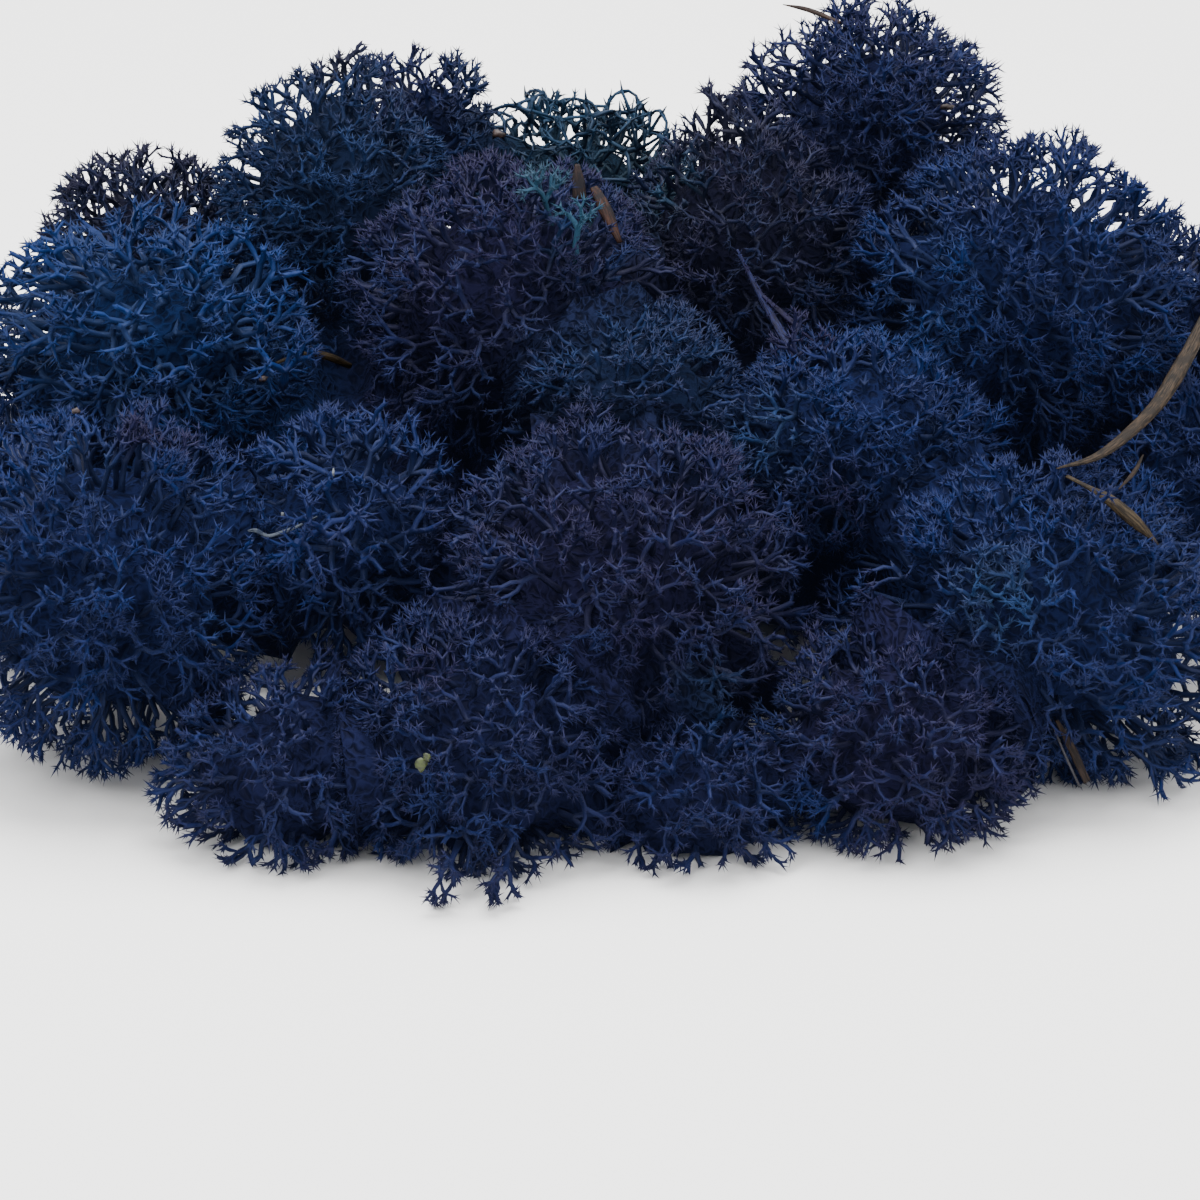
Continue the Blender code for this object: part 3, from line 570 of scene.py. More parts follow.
def growTuft(name, seed):
    tuft = tufts[name]
    habit = habits[tuft["habit"]]
    rng = np.random.RandomState(seed)
    here = np.array(tuft["middle"], float)
    normals, distances = cellOf(name)
    corePlaces, coreFaces = coreOf(name, normals, distances)
    reach = growth["interlock"]
    verts = [corePlaces]
    faces = [coreFaces]
    tones = [np.zeros((len(corePlaces), 4))]
    count = len(corePlaces)
    nearLitter = any(
        np.linalg.norm(row[:3] - here) < max(tuft["reach"], tuft["rise"]) + 3 for row in litterRows
    )

    def fits(points, room, ease, free):
        # True where a point lies under the heads, in the cell and clear of the litter
        lengths = np.linalg.norm(points, axis=1)
        good = lengths + room < headReach(tuft, points / np.maximum(lengths, 1e-9)[:, None]) * ease
        good &= (points @ normals[1:].T < distances[1:] + reach).all(1)
        good |= free
        good &= points[:, 2] + here[2] > growth["lowestTip"] + room
        if nearLitter:
            for k in np.nonzero(good)[0]:
                place, index, distance = litterTree.find(points[k] + here)
                good[k] = free[k] or distance > litterRows[index][3] + room[k] + growth["litterGap"]
        return good

    def addVerts(rows, tone):
        nonlocal count
        verts.append(rows)
        tones.append(tone)
        first = count
        count += len(rows)
        return np.arange(first, count)

    def toneOf(ends, depth, size):
        # what the dye reads: how far along the sprig, the sprig's own draw, the twig's own draw
        return np.repeat(
            np.column_stack([np.full(len(ends["tree"]), depth), ends["treeDraw"], ends["draw"], ends["tree"] * 0]),
            size,
            axis=0,
        )

    def extrude(ends, centre, heading, width, depth):
        # a three-sided length of branch from each end to its new centre
        spoke = ends["corners"][:, 0] - ends["centre"]
        spoke = unit(spoke - heading * (spoke * heading).sum(1)[:, None])
        side = np.cross(heading, spoke)
        corners = np.stack(
            [centre + (spoke * c + side * s) * (width / 2)[:, None] for c, s in triangle], axis=1
        )
        old = ends["ring"]
        new = addVerts(corners.reshape(-1, 3), toneOf(ends, depth, 3)).reshape(-1, 3)
        for k in range(3):
            n = (k + 1) % 3
            faces.append(np.column_stack([old[:, k], old[:, n], new[:, n]]))
            faces.append(np.column_stack([old[:, k], new[:, n], new[:, k]]))
        return {**ends, "ring": new, "corners": corners, "centre": centre, "heading": heading, "width": width}

    def bendOf(ends, amount):
        # a way to curl, square to each heading
        aside = rng.uniform(-1, 1, ends["heading"].shape)
        return np.cross(ends["heading"], aside) * amount

    def grow(ends, length, first, second, width):
        # where each limb's middle and end would come, and whether there is room for it
        half = ends["centre"] + first * (length * 0.5)[:, None]
        goal = half + second * (length * 0.5)[:, None]
        good = fits(goal, width / 2, ends["ease"], ends["free"])
        short = ~good
        if short.any():
            length = np.where(short, length * 0.55, length)
            half = ends["centre"] + first * (length * 0.5)[:, None]
            goal = half + second * (length * 0.5)[:, None]
            good[short] = fits(goal[short], width[short] / 2, ends["ease"][short], ends["free"][short])
        return half, goal, good

    def part(ends, mask):
        return {key: value[mask] for key, value in ends.items()}

    def spike(ends, length):
        # a tip: the end drawn out to a point
        goal = ends["centre"] + ends["heading"] * length[:, None]
        low = growth["lowestTip"] - here[2]
        goal[:, 2] = np.maximum(goal[:, 2], low)
        new = addVerts(goal, toneOf(ends, 1.0, 1))
        for k in range(3):
            faces.append(np.column_stack([ends["ring"][:, k], ends["ring"][:, (k + 1) % 3], new]))

    def sideTwigs(ends, starts, number, nearEnd):
        # fine twigs that stand off a limb, each rooted inside it
        for _ in range(number):
            if not len(starts):
                break
            share = rng.uniform(nearEnd, 1.0, len(starts))[:, None]
            root = starts + (ends["centre"] - starts) * share
            along = unit(ends["centre"] - starts)
            out = unit(np.cross(along, rng.uniform(-1, 1, along.shape)))
            heading = unit(out + along * rng.uniform(0.3, 1.1, len(out))[:, None] + unit(root) * 0.2)
            length = habit["tip"] * rng.uniform(0.7, 1.35, len(out)) + ends["width"] / 2
            goal = root + heading * length[:, None]
            good = fits(goal, 0 * length, ends["ease"] * 1.04, ends["free"])
            root, goal, heading = root[good], goal[good], heading[good]
            side = unit(np.cross(heading, rng.uniform(-1, 1, heading.shape)))
            other = np.cross(heading, side)
            half = habit["tipWidth"] / 2
            ring = np.stack([root + (side * c + other * t) * half for c, t in triangle], axis=1)
            some = {key: value[good] for key, value in ends.items()}
            some["draw"] = rng.uniform(0, 1, len(root))
            base = addVerts(ring.reshape(-1, 3), toneOf(some, ends["depth"][0] if len(ends["depth"]) else 0, 3))
            base = base.reshape(-1, 3)
            point = addVerts(goal, toneOf(some, 1.0, 1))
            faces.append(base[:, ::-1])
            for k in range(3):
                faces.append(np.column_stack([base[:, k], base[:, (k + 1) % 3], point]))

    def fork(ends, rise, spread):
        # three new ends on each end, which lean apart
        top = ends["centre"] + ends["heading"] * (ends["width"] * rise)[:, None]
        new = addVerts(top, toneOf(ends, ends["depth"][0] if len(ends["depth"]) else 0, 1))
        children = []
        for k in range(3):
            n = (k + 1) % 3
            corners = np.stack([top, ends["corners"][:, k], ends["corners"][:, n]], axis=1)
            centre = corners.mean(1)
            out = centre - ends["centre"]
            out = unit(out - ends["heading"] * (out * ends["heading"]).sum(1)[:, None])
            amount = spread * rng.uniform(0.6, 1.3, len(out))[:, None]
            wobble = rng.uniform(-1, 1, out.shape) * growth["wobble"]
            pull = unit(centre) * growth["outward"]
            heading = unit(ends["heading"] + out * amount + wobble + pull)
            children.append(
                {
                    **ends,
                    "ring": np.column_stack([new, ends["ring"][:, k], ends["ring"][:, n]]),
                    "corners": corners,
                    "centre": centre,
                    "heading": heading,
                    "draw": rng.uniform(0, 1, len(out)),
                }
            )
        return {key: np.concatenate([child[key] for child in children]) for key in ends}

    def strands(points, widths, depth):
        # closed three-sided strands through rows of points
        way = unit(np.gradient(points, axis=1))
        side = unit(np.cross(way, rng.uniform(-1, 1, (len(points), 1, 3))))
        other = np.cross(way, side)
        half = np.array(widths)[None, :, None] / 2
        rings = np.stack([points + (side * c + other * t) * half for c, t in triangle], axis=2)
        ends = {"tree": np.zeros(len(points)), "treeDraw": rng.uniform(0, 1, len(points)),
                "draw": rng.uniform(0, 1, len(points))}
        size = points.shape[1]
        new = addVerts(rings.reshape(-1, 3), toneOf(ends, depth, size * 3)).reshape(-1, size, 3)
        for step in range(size - 1):
            for k in range(3):
                n = (k + 1) % 3
                faces.append(np.column_stack([new[:, step, k], new[:, step, n], new[:, step + 1, n]]))
                faces.append(np.column_stack([new[:, step, k], new[:, step + 1, n], new[:, step + 1, k]]))
        faces.append(new[:, 0, ::-1])
        faces.append(new[:, -1])

    def weaveNet(net):
        # arched strands between places on a few shells, which close into loops
        way = spiral(growth["candidates"])
        way = way[way @ openSide(tuft) > net["bare"]]
        knots = []
        for layer in net["layers"]:
            shell = way * (tipReach(tuft, way) * layer)[:, None]
            kept = keptApart(shell, np.full(len(shell), net["gap"]), rng.permutation(len(shell)))
            knots.append(shell[kept] + rng.uniform(-0.6, 0.6, (len(kept), 3)))
        knots = np.concatenate(knots)
        knots = knots[fits(knots, np.full(len(knots), net["width"]), np.ones(len(knots)), np.zeros(len(knots), bool))]
        apart = np.linalg.norm(knots[:, None] - knots[None], axis=2)
        apart[apart < 0.5 * net["gap"]] = 1e9
        pairs = set()
        for k in range(len(knots)):
            for other in np.argsort(apart[k])[: net["links"]]:
                pairs.add((min(k, other), max(k, other)))
        pairs = np.array(sorted(pairs))
        first, last = knots[pairs[:, 0]], knots[pairs[:, 1]]
        long = np.linalg.norm(last - first, axis=1)[:, None]
        arch = (unit(first + last) * 0.6 + rng.uniform(-1, 1, first.shape)) * net["arch"] * long * 0.5
        shares = (0, 0.3, 0.7, 1)
        rows = np.stack([first + (last - first) * t + arch * 4 * t * (1 - t) for t in shares], axis=1)
        good = fits(rows[:, 1], long[:, 0] * 0, np.full(len(rows), 1.05), np.zeros(len(rows), bool))
        good &= fits(rows[:, 2], long[:, 0] * 0, np.full(len(rows), 1.05), np.zeros(len(rows), bool))
        wide = net["width"]
        strands(rows[good], (wide * 1.5, wide, wide * 0.95, wide * 1.4), 0.5)
        # small points that stand off the knots
        lift = unit(unit(knots) + rng.uniform(-1, 1, knots.shape))
        rows = np.stack([knots, knots + lift * 0.5, knots + lift * rng.uniform(0.9, 1.7, len(knots))[:, None]], axis=1)
        strands(rows, (wide, wide * 0.7, 0.08), 0.9)

    def branchOut(roots, lean, stem, scale, ease, free):
        # sprigs from their roots: a stem, three rounds of forks, each limb curled, and the tips
        n = len(roots)
        width = habit["widths"][0] * 1.25 * np.ones(n)
        across = unit(np.cross(lean, rng.uniform(-1, 1, lean.shape)))
        side = np.cross(lean, across)
        corners = np.stack([roots + (across * c + side * s) * (width / 2)[:, None] for c, s in triangle], axis=1)
        ends = {
            "tree": np.arange(n), "treeDraw": rng.uniform(0, 1, n), "draw": rng.uniform(0, 1, n),
            "corners": corners, "centre": roots, "heading": lean, "width": width,
            "scale": scale, "depth": np.zeros(n), "ease": ease, "free": free,
        }
        ends["ring"] = addVerts(corners.reshape(-1, 3), toneOf(ends, 0.0, 3)).reshape(-1, 3)
        faces.append(ends["ring"][:, ::-1])
        for step, share in enumerate((0.6, 0.4)):
            heading = unit(ends["heading"] + bendOf(ends, habit["curl"] * 0.4))
            width = ends["width"] * 0 + habit["widths"][0] * (1 - 0.08 * step)
            start = ends["centre"]
            centre = start + heading * (stem * share)[:, None]
            ends = extrude(ends, centre, heading, width, 0.1 + 0.1 * step)
        sideTwigs(ends, start, habit["sides"][0], 0.1)
        for level, long in enumerate(habit["lengths"]):
            if not len(ends["tree"]):
                return
            ends = fork(ends, 0.35, habit["spread"])
            lengths = long * ends["scale"] * rng.uniform(0.75, 1.25, len(ends["tree"]))
            stubs = rng.uniform(0, 1, len(lengths)) < habit["stub"]
            depth = 0.3 + 0.2 * level
            spike(part(ends, stubs), 0.5 * lengths[stubs])
            ends, lengths = part(ends, ~stubs), lengths[~stubs]
            width = np.full(len(lengths), habit["widths"][level + 1]) * (0.7 + 0.3 * ends["scale"])
            second = unit(ends["heading"] + bendOf(ends, habit["curl"]))
            half, goal, good = grow(ends, lengths, ends["heading"], second, width)
            spike(part(ends, ~good), 0.45 * np.ones((~good).sum()))
            ends, half, goal, width, second = part(ends, good), half[good], goal[good], width[good], second[good]
            ends["depth"] = np.full(len(goal), depth)
            start = ends["centre"]
            if level < 2:
                ends = extrude(ends, half, unit(goal - start), width * 1.05, depth - 0.1)
                start = half
            ends = extrude(ends, goal, second, width, depth)
            sideTwigs(ends, start, habit["sides"][level], 0.3 + 0.2 * level)
        if len(ends["tree"]):
            ends = fork(ends, 0.2, habit["spread"] * 1.1)
            spike(ends, habit["tip"] * ends["scale"] * rng.uniform(0.7, 1.35, len(ends["tree"])))

    # Sprigs start where the core lies open
    rays = spiral(growth["candidates"])
    shell = rays * (tipReach(tuft, rays) * habit["shell"])[:, None]
    ballRays = unit(corePlaces)
    tip = tipReach(tuft, rays)
    room = np.where(
        (rays @ normals.T) > 1e-6, (distances + reach) / np.maximum(rays @ normals.T, 1e-6), 1e9
    ).min(1)
    top = np.minimum(tip, room)
    base = coreRadius(rays, corePlaces, ballRays)
    alive = (top - base > 1.6) & ((rays * base[:, None] + here)[:, 2] > 1.0)
    chosen = rng.permutation(np.nonzero(alive)[0])
    seen = np.zeros(len(rays))
    seen[chosen] = openness(name, (rays * top[:, None] + here)[chosen])
    chosen = chosen[seen[chosen] > growth["leastOpen"]]
    for way, height, breadth in tuft.get("knobs", ()):
        first = chosen[np.argmax(rays[chosen] @ unit(np.array(way, float)))]
        chosen = np.concatenate([[first], chosen[chosen != first]])
    spacings = habit["spacing"] / np.sqrt(np.clip(seen / growth["wellOpen"], 0.25, 1))
    spacings *= 1 + growth["behind"] * np.clip(rays[:, 1] + 0.2, 0, 1)
    picked = keptApart(shell, spacings, chosen)
    if len(picked):
        rays, base, top = rays[picked], base[picked], top[picked]
        lean = unit(rays + openSide(tuft) * 0.2 + rng.uniform(-0.3, 0.3, rays.shape))
        crown = sum(habit["lengths"]) * 0.82 + habit["tip"]
        height = top - base
        scale = np.clip(height / (crown + 1.0), 0.5, 1.0)
        # the stem takes what the crown leaves
        stem = np.maximum(height - crown * scale, 0.8) + growth["rootDepth"]
        ease = 1 + growth["ragged"] * rng.uniform(-1, 0.4, len(rays))
        branchOut(rays * base[:, None] - lean * growth["rootDepth"], lean, stem, scale, ease, ease < 0)

    # Then those that are planted here, the net and the specks
    ownDyes = []
    for sprig in planted:
        if sprig["tuft"] == name:
            first = count
            one = np.ones(1)
            branchOut(
                np.array([sprig["foot"]]) - here, unit(np.array([sprig["way"]], float)), one * sprig["stem"],
                one * 0.8, one, one > 0,
            )
            ownDyes.append((first, count, sprig.get("dye")))
    if "net" in habit:
        weaveNet(habit["net"])
    speckFaces = [sum(len(some) for some in faces)]
    for speck in specks:
        if speck["tuft"] == name:
            places, corners = chip(speck)
            first = addVerts(places - here, np.zeros((len(places), 4)))[0]
            faces.append(corners + first)
            speckFaces.append(len(corners))
            ownDyes.append((first, count, speck["colour"]))
    allVerts = np.concatenate(verts)
    allTones = np.concatenate(tones)
    # the fourth value says how deep a point lies under the tips; the material uses it to paint deep parts paler,
    # painted light that lifts the shade
    lengths = np.linalg.norm(allVerts, axis=1)
    outer = tipReach(tuft, allVerts / np.maximum(lengths, 1e-9)[:, None])
    allTones[:, 3] = np.clip(1 - (outer - lengths) / growth["shadeDepth"], 0, 1)
    allTones[: len(corePlaces), 3] = 0
    colours = dyeAt(allVerts + here)
    for first, last, own in ownDyes:
        if own:
            colours[first:last] = dyes.get(own, own)
    piece = meshPiece(name, allVerts + here, np.concatenate(faces), "_moss")
    colours = np.column_stack([colours, np.ones(len(colours))])
    for label, rows in (("growth", allTones), ("dye", colours)):
        attribute = piece.data.attributes.new(label, "FLOAT_COLOR", "POINT")
        attribute.data.foreach_set("color", rows.astype(np.float32).ravel())
    slots = np.zeros(len(piece.data.polygons), np.int32)
    slots[: len(coreFaces)] = 1
    slots[speckFaces[0] :] = 2
    piece.data.polygons.foreach_set("material_index", slots)
    print(name, "sprigs", len(picked), "triangles", len(piece.data.polygons))
    return piece


def meshPiece(name, places, faces, ending):
    mesh = bpy.data.meshes.new(name + "_shape")
    mesh.vertices.add(len(places))
    mesh.vertices.foreach_set("co", (places * mm).astype(np.float32).ravel())
    mesh.loops.add(len(faces) * 3)
    mesh.loops.foreach_set("vertex_index", faces.astype(np.int32).ravel())
    mesh.polygons.add(len(faces))
    mesh.polygons.foreach_set("loop_start", np.arange(0, len(faces) * 3, 3, dtype=np.int32))
    mesh.update(calc_edges=True)
    mesh.shade_smooth()
    piece = bpy.data.objects.new(name + ending, mesh)
    bpy.context.scene.collection.objects.link(piece)
    return piece


def newMaterial(name):
    material = bpy.data.materials.new(name)
    material.use_nodes = True
    return material, material.node_tree.nodes, material.node_tree.links, material.node_tree.nodes["Principled BSDF"]


def joined(nodes, links, kind, a, b, factor=1):
    # a colour node of that kind between two colours, each a socket or a fixed one
    node = nodes.new("ShaderNodeMix")
    node.data_type = "RGBA"
    node.blend_type = kind
    for socket, value in ((node.inputs[6], a), (node.inputs[7], b), (node.inputs[0], factor)):
        if isinstance(value, bpy.types.NodeSocket):
            links.new(value, socket)
        elif isinstance(value, tuple):
            socket.default_value = (*value, 1)
        else:
            socket.default_value = value
    return node.outputs[2]


def ramp(nodes, links, value, low, high):
    # 0 up to low, 1 from high on
    node = nodes.new("ShaderNodeMapRange")
    node.interpolation_type = "SMOOTHSTEP"
    links.new(value, node.inputs["Value"])
    node.inputs["From Min"].default_value = low
    node.inputs["From Max"].default_value = high
    return node.outputs["Result"]


def attributeNode(nodes, name):
    node = nodes.new("ShaderNodeAttribute")
    node.attribute_name = name
    return node


# a painted glow: the surface gives off a faint light of its own, no lamp, to lift its dark parts
def addPaintedGlow(shader):
    shader.inputs["Emission Color"].default_value = (*shade["glow"], 1)
    shader.inputs["Emission Strength"].default_value = shade["glowStrength"]


def mossMaterial():
    material, nodes, links, shader = newMaterial("moss")
    growthNode = attributeNode(nodes, "growth")
    dye = attributeNode(nodes, "dye").outputs["Color"]
    parts = nodes.new("ShaderNodeSeparateColor")
    links.new(growthNode.outputs["Color"], parts.inputs["Color"])
    place = nodes.new("ShaderNodeTexCoord")
    patches = nodes.new("ShaderNodeTexNoise")
    patches.inputs["Scale"].default_value = 110
    patches.inputs["Detail"].default_value = 3
    links.new(place.outputs["Object"], patches.inputs["Vector"])
    patch = joined(nodes, links, "MULTIPLY", dye, shade["patch"])
    tip = joined(nodes, links, "MULTIPLY", dye, shade["tip"])
    edge = 1 - shade["patchShare"]
    body = joined(nodes, links, "MIX", dye, patch, ramp(nodes, links, patches.outputs["Fac"], edge - 0.12, edge + 0.12))
    tipped = joined(nodes, links, "MIX", body, tip, ramp(nodes, links, parts.outputs["Red"], 0.45, 1.0))
    outside = joined(nodes, links, "MIX", tipped, patch, ramp(nodes, links, parts.outputs["Green"], 0.6, 1.0))
    # painted light: deep in a tuft the dye is made paler and a neutral colour is added, to lift the shade there
    inside = joined(nodes, links, "MULTIPLY", dye, shade["inside"])
    inside = joined(nodes, links, "ADD", inside, shade["paintedFill"])
    depth = ramp(nodes, links, growthNode.outputs["Alpha"], 0.1, 0.8)
    links.new(joined(nodes, links, "MIX", inside, outside, depth), shader.inputs["Base Color"])
    grain = nodes.new("ShaderNodeTexNoise")
    grain.inputs["Scale"].default_value = 2600
    grain.inputs["Detail"].default_value = 2
    links.new(place.outputs["Object"], grain.inputs["Vector"])
    bump = nodes.new("ShaderNodeBump")
    bump.inputs["Strength"].default_value = 0.35
    bump.inputs["Distance"].default_value = 0.00012
    links.new(grain.outputs["Fac"], bump.inputs["Height"])
    links.new(bump.outputs["Normal"], shader.inputs["Normal"])
    shader.inputs["Roughness"].default_value = 0.6
    shader.inputs["Specular IOR Level"].default_value = 0.12
    addPaintedGlow(shader)
    return material


def coreMaterial():
    # the shaded middle of a tuft, a web of old branches too deep to tell apart
    material, nodes, links, shader = newMaterial("moss_shade")
    place = nodes.new("ShaderNodeTexCoord")
    bend = nodes.new("ShaderNodeTexNoise")
    bend.inputs["Scale"].default_value = 300
    links.new(place.outputs["Object"], bend.inputs["Vector"])
    shift = nodes.new("ShaderNodeVectorMath")
    shift.operation = "MULTIPLY_ADD"
    shift.inputs[1].default_value = (0.004, 0.004, 0.004)
    links.new(bend.outputs["Color"], shift.inputs[0])
    links.new(place.outputs["Object"], shift.inputs[2])
    web = nodes.new("ShaderNodeTexVoronoi")
    web.feature = "DISTANCE_TO_EDGE"
    web.inputs["Scale"].default_value = 900
    links.new(shift.outputs["Vector"], web.inputs["Vector"])
    # painted shade: the cells between the web's strands are made darker, as holes in shadow would be
    gap = ramp(nodes, links, web.outputs["Distance"], 0.0, 0.4)
    dye = attributeNode(nodes, "dye").outputs["Color"]
    strandColour = joined(nodes, links, "MULTIPLY", dye, shade["coreStrand"])
    gapShadeColour = joined(nodes, links, "MULTIPLY", dye, shade["coreGapShade"])
    colour = joined(nodes, links, "MIX", strandColour, gapShadeColour, gap)
    # the same painted light that lifts the shade is added to the core's colour here
    links.new(joined(nodes, links, "ADD", colour, shade["paintedFill"]), shader.inputs["Base Color"])
    bump = nodes.new("ShaderNodeBump")
    bump.invert = True
    bump.inputs["Strength"].default_value = 1
    bump.inputs["Distance"].default_value = 0.0004
    links.new(gap, bump.inputs["Height"])
    links.new(bump.outputs["Normal"], shader.inputs["Normal"])
    shader.inputs["Roughness"].default_value = 0.95
    shader.inputs["Specular IOR Level"].default_value = 0.02
    addPaintedGlow(shader)
    return material


def speckMaterial():
    # the specks' own colours, a little mottled
    material, nodes, links, shader = newMaterial("specks")
    place = nodes.new("ShaderNodeTexCoord")
    mottle = nodes.new("ShaderNodeTexNoise")
    mottle.inputs["Scale"].default_value = 2000
    links.new(place.outputs["Object"], mottle.inputs["Vector"])
    dye = attributeNode(nodes, "dye").outputs["Color"]
    dark = joined(nodes, links, "MULTIPLY", dye, (0.4, 0.4, 0.4))
    mixed = joined(nodes, links, "MIX", dark, dye, ramp(nodes, links, mottle.outputs["Fac"], 0.4, 0.6))
    links.new(mixed, shader.inputs["Base Color"])
    shader.inputs["Roughness"].default_value = 0.6
    return material


mossMaterials = (mossMaterial(), coreMaterial(), speckMaterial())
for index, (name, tuft) in enumerate(tufts.items()):
    piece = growTuft(name, growth["firstSeed"] + index)
    for material in mossMaterials:
        piece.data.materials.append(material)
    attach(piece, "root")
    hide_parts(name)


# Litter

sweepLook = {
    "sides": 18,
    "ringGap": 0.3,  # along a piece
    "broadFace": (0, -0.5, 1),  # the way that the broad faces look
    "grooveWidth": 0.35,
    "hairLength": 0.55,
    "hairWidth": 0.12,
}


def sweptPart(part, rng):
    # a closed skin round a part's line, and for each corner its place along and across for the grain
    length = np.linalg.norm(np.diff(np.array(part["path"], float), axis=0), axis=1).sum()
    steps = max(4, round(length / sweepLook["ringGap"] / (len(part["path"]) - 1)))
    line = smoothPath(part["path"], steps)
    width = smoothPath([(w, 0, 0) for w in part["widths"]], steps)[:, 0]
    share = np.linspace(0, 1, len(line))
    along = unit(np.gradient(line, axis=0))
    across = unit(np.cross(along, sweepLook["broadFace"]))
    out = np.cross(across, along)
    turn = np.radians(part["turn"]) * (share - 0.5)
    across, out = (
        across * np.cos(turn)[:, None] + out * np.sin(turn)[:, None],
        out * np.cos(turn)[:, None] - across * np.sin(turn)[:, None],
    )
    angle = np.arange(sweepLook["sides"]) * 2 * math.pi / sweepLook["sides"]
    groove = np.full(len(line), part["groove"])
    if part["split"]:
        start, deep = part["split"]
        groove += (deep - part["groove"]) * np.clip((share - start) / (1 - start), 0, 1)
    ridges, ridgeHeight = part["ridges"]
    seed = rng.uniform(0, 50)
    radius = np.ones((len(line), len(angle)))
    for face in (0.5, 1.5):
        near = np.exp(-(((angle - face * math.pi) / sweepLook["grooveWidth"]) ** 2))
        radius -= (groove * (1 if face < 1 else 0.6))[:, None] * near[None, :]
    radius += ridgeHeight * np.sin(ridges * angle[None, :] + 3 * np.sin(5 * share[:, None] + seed))
    for k in range(len(line)):
        for j, turned in enumerate(angle):
            place = (math.cos(turned) * 1.3, math.sin(turned) * 1.3, share[k] * length * 0.9 + seed)
            radius[k, j] += part["rough"] * noise.noise(place)
    x = np.cos(angle)[None, :] * radius * width[:, None] / 2
    y = np.sin(angle)[None, :] * radius * width[:, None] / 2 * part["flat"]
    places = line[:, None] + across[:, None] * x[..., None] + out[:, None] * y[..., None]
    places = np.concatenate([places.reshape(-1, 3), line[:1], line[-1:]])
    grain = np.column_stack([np.repeat(share * length, len(angle)), x.ravel(), y.ravel()])
    grain = np.concatenate([grain, [(0, 0, 0), (length, 0, 0)]])
    sides = len(angle)
    ring = np.arange(sides)
    faces = []
    for k in range(len(line) - 1):
        low, high = k * sides + ring, k * sides + np.roll(ring, -1)
        faces += [np.column_stack([low, low + sides, high]), np.column_stack([high, low + sides, high + sides])]
    first, last = len(line) * sides, len(line) * sides + 1
    end = (len(line) - 1) * sides
    faces.append(np.column_stack([np.full(sides, first), ring, np.roll(ring, -1)]))
    faces.append(np.column_stack([np.full(sides, last), end + np.roll(ring, -1), end + ring]))
    for _ in range(part["hairs"]):
        k = rng.randint(2, len(line) - 2)
        j = rng.randint(sides)
        foot = line[k] + (places[k * sides + j] - line[k]) * 0.6
        away = unit(places[k * sides + j] - line[k])
        heading = unit(away + along[k] * rng.uniform(-0.4, 1.4) + rng.uniform(-0.3, 0.3, 3))
        side = unit(np.cross(heading, along[k]))
        other = np.cross(heading, side)
        size = sweepLook["hairWidth"] * rng.uniform(0.7, 1.3) / 2
        corners = [foot + (side * c + other * t) * size for c, t in triangle]
        point = foot + heading * (sweepLook["hairLength"] * rng.uniform(0.5, 1.4) + width[k] * 0.2)
        n = len(places)
        places = np.concatenate([places, corners, [point]])
        grain = np.concatenate([grain, np.tile(grain[k * sides + j], (4, 1))])
        faces.append(np.array([(n, n + 2, n + 1), (n, n + 1, n + 3), (n + 1, n + 2, n + 3), (n + 2, n, n + 3)]))
    return places, np.concatenate(faces), grain


def litterMaterial(name, part):
    # grain that runs along the piece, between a dark and a light colour, with duller stretches
    material, nodes, links, shader = newMaterial(name)
    grain = nodes.new("ShaderNodeAttribute")
    grain.attribute_name = "grain"
    stretch = nodes.new("ShaderNodeVectorMath")
    stretch.operation = "MULTIPLY"
    stretch.inputs[1].default_value = (0.45, 6, 6)
    links.new(grain.outputs["Vector"], stretch.inputs[0])
    streaks = nodes.new("ShaderNodeTexNoise")
    streaks.inputs["Scale"].default_value = 1.4
    streaks.inputs["Detail"].default_value = 5
    streaks.inputs["Roughness"].default_value = 0.65
    links.new(stretch.outputs["Vector"], streaks.inputs["Vector"])
    patches = nodes.new("ShaderNodeTexNoise")
    patches.inputs["Scale"].default_value = 0.7
    patches.inputs["Detail"].default_value = 3
    links.new(grain.outputs["Vector"], patches.inputs["Vector"])

    streaky = ramp(nodes, links, streaks.outputs["Fac"], 0.4, 0.62)
    streaked = joined(nodes, links, "MIX", part["dark"], part["light"], streaky)
    patchy = ramp(nodes, links, patches.outputs["Fac"], 0.5, 0.64)
    spotted = joined(nodes, links, "MIX", streaked, part["spot"], patchy)
    links.new(spotted, shader.inputs["Base Color"])
    bump = nodes.new("ShaderNodeBump")
    bump.inputs["Strength"].default_value = 0.7
    bump.inputs["Distance"].default_value = 0.00012
    links.new(streaks.outputs["Fac"], bump.inputs["Height"])
    links.new(bump.outputs["Normal"], shader.inputs["Normal"])
    shader.inputs["Roughness"].default_value = 0.6
    shader.inputs["Specular IOR Level"].default_value = 0.1
    return material


def caughtPiece(name, seed):
    rng = np.random.RandomState(seed)
    places, faces, grain, slots = [], [], [], []
    count = 0
    for k, part in enumerate(litter[name]["parts"]):
        somePlaces, someFaces, someGrain = sweptPart(part, rng)
        places.append(somePlaces)
        faces.append(someFaces + count)
        grain.append(someGrain)
        slots.append(np.full(len(someFaces), k, np.int32))
        count += len(somePlaces)
    piece = meshPiece(name, np.concatenate(places), np.concatenate(faces), "_grained")
    rows = piece.data.attributes.new("grain", "FLOAT_VECTOR", "POINT")
    rows.data.foreach_set("vector", np.concatenate(grain).astype(np.float32).ravel())
    piece.data.polygons.foreach_set("material_index", np.concatenate(slots))
    for k, part in enumerate(litter[name]["parts"]):
        piece.data.materials.append(litterMaterial(f"{name}_grain_{k}", part))
    return piece


for index, name in enumerate(litter):
    piece = caughtPiece(name, growth["firstSeed"] + 100 + index)
    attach(piece, "root")
    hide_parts(name)
print("litter placed:", len(litter), "pieces")


# Studio

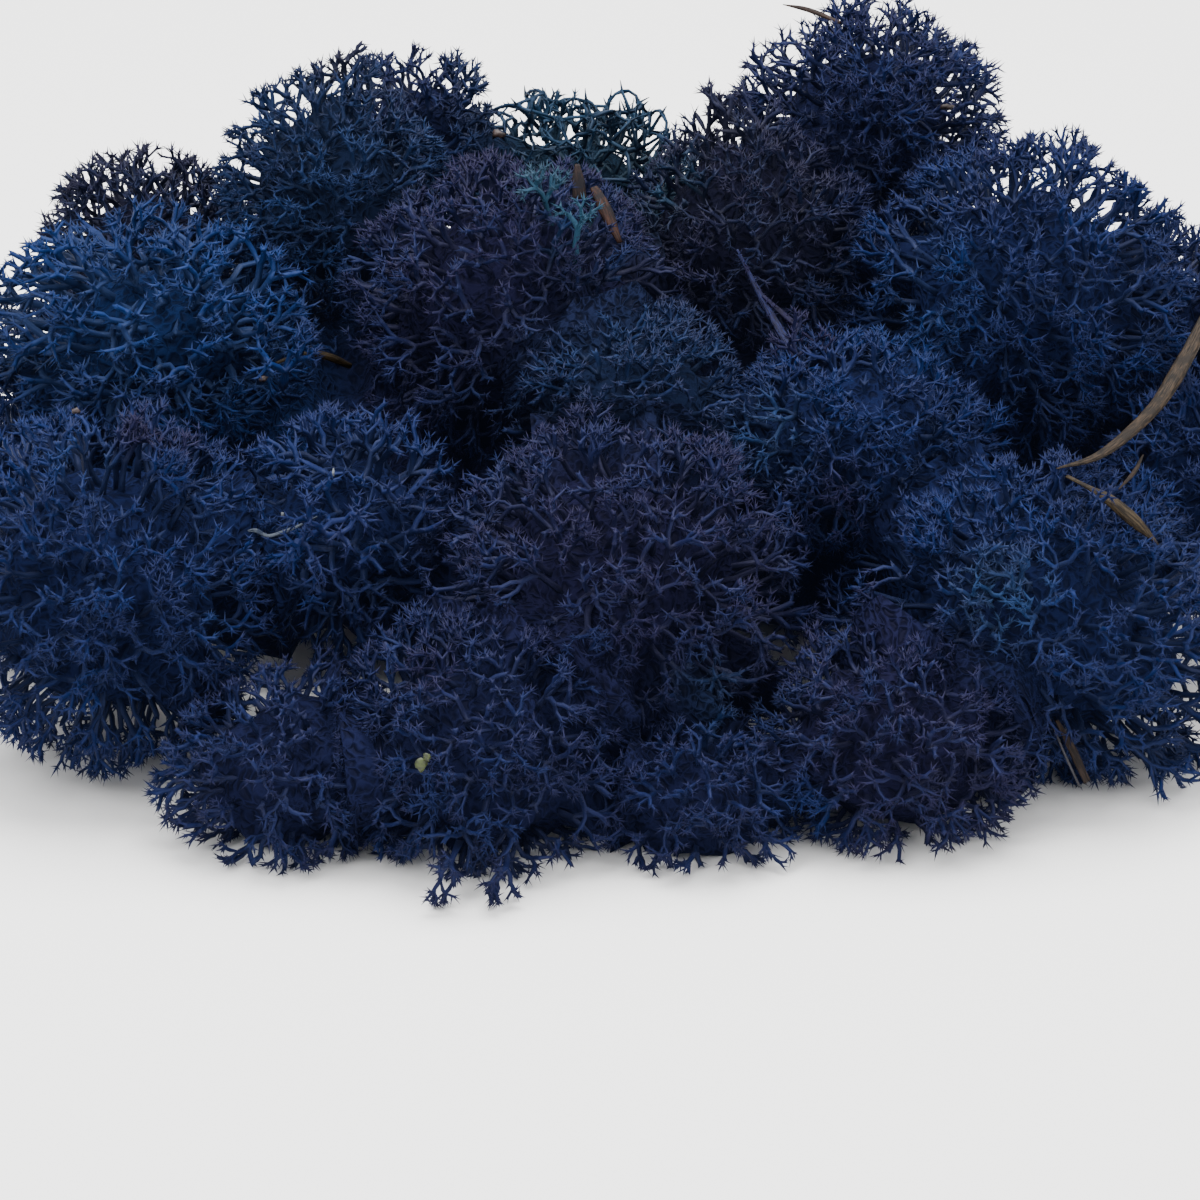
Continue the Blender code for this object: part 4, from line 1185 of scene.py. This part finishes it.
studio = {
    "elevation": 22,  # degrees that the camera looks down
    "distance": 500,
    "target": (-3, -4, 5),
    "lens": 150,
    "sensor": 36,
    "floorHalf": 3000,
    "floorColour": (0.86, 0.858, 0.85),
    "skyColour": (0.93, 0.93, 0.94),
    "skyStrength": 1.75,
}

floorMesh = bpy.data.meshes.new("floor")
half = studio["floorHalf"] * mm
floorMesh.from_pydata([(-half, -half, 0), (half, -half, 0), (half, half, 0), (-half, half, 0)], [], [(0, 1, 2, 3)])
floor = bpy.data.objects.new("floor", floorMesh)
bpy.context.scene.collection.objects.link(floor)
floorMaterial, floorNodes, floorLinks, floorShader = newMaterial("pale_floor")
floorShader.inputs["Base Color"].default_value = (*studio["floorColour"], 1)
floorShader.inputs["Roughness"].default_value = 0.7
floorMesh.materials.append(floorMaterial)

world = bpy.data.worlds.new("studio")
world.use_nodes = True
world.node_tree.nodes["Background"].inputs["Color"].default_value = (*studio["skyColour"], 1)
world.node_tree.nodes["Background"].inputs["Strength"].default_value = studio["skyStrength"]
bpy.context.scene.world = world


def softbox(name, place, size, power, target=(0, 0, 20)):
    lamp = bpy.data.lights.new(name, "AREA")
    lamp.shape = "RECTANGLE"
    lamp.size = size[0] * mm
    lamp.size_y = size[1] * mm
    lamp.energy = power
    holder = bpy.data.objects.new(name, lamp)
    holder.location = Vector(place) * mm
    aim = Vector(target) - Vector(place)
    holder.rotation_euler = aim.to_track_quat("-Z", "Y").to_euler()
    bpy.context.scene.collection.objects.link(holder)
    return holder


softbox("key", (-350, -450, 600), (500, 500), 4)
softbox("fill", (500, -450, 350), (500, 400), 2)
softbox("top", (0, 150, 700), (600, 600), 14)

camera = bpy.data.objects.new("camera", bpy.data.cameras.new("camera"))
tilt = math.radians(studio["elevation"])
forward = Vector((0, math.cos(tilt), -math.sin(tilt)))
camera.location = (Vector(studio["target"]) - forward * studio["distance"]) * mm
camera.rotation_euler = (math.pi / 2 - tilt, 0, 0)
camera.data.lens = studio["lens"]
camera.data.sensor_width = studio["sensor"]
camera.data.clip_start = 0.01
camera.data.clip_end = 20
bpy.context.scene.collection.objects.link(camera)
bpy.context.scene.camera = camera
print("studio set")
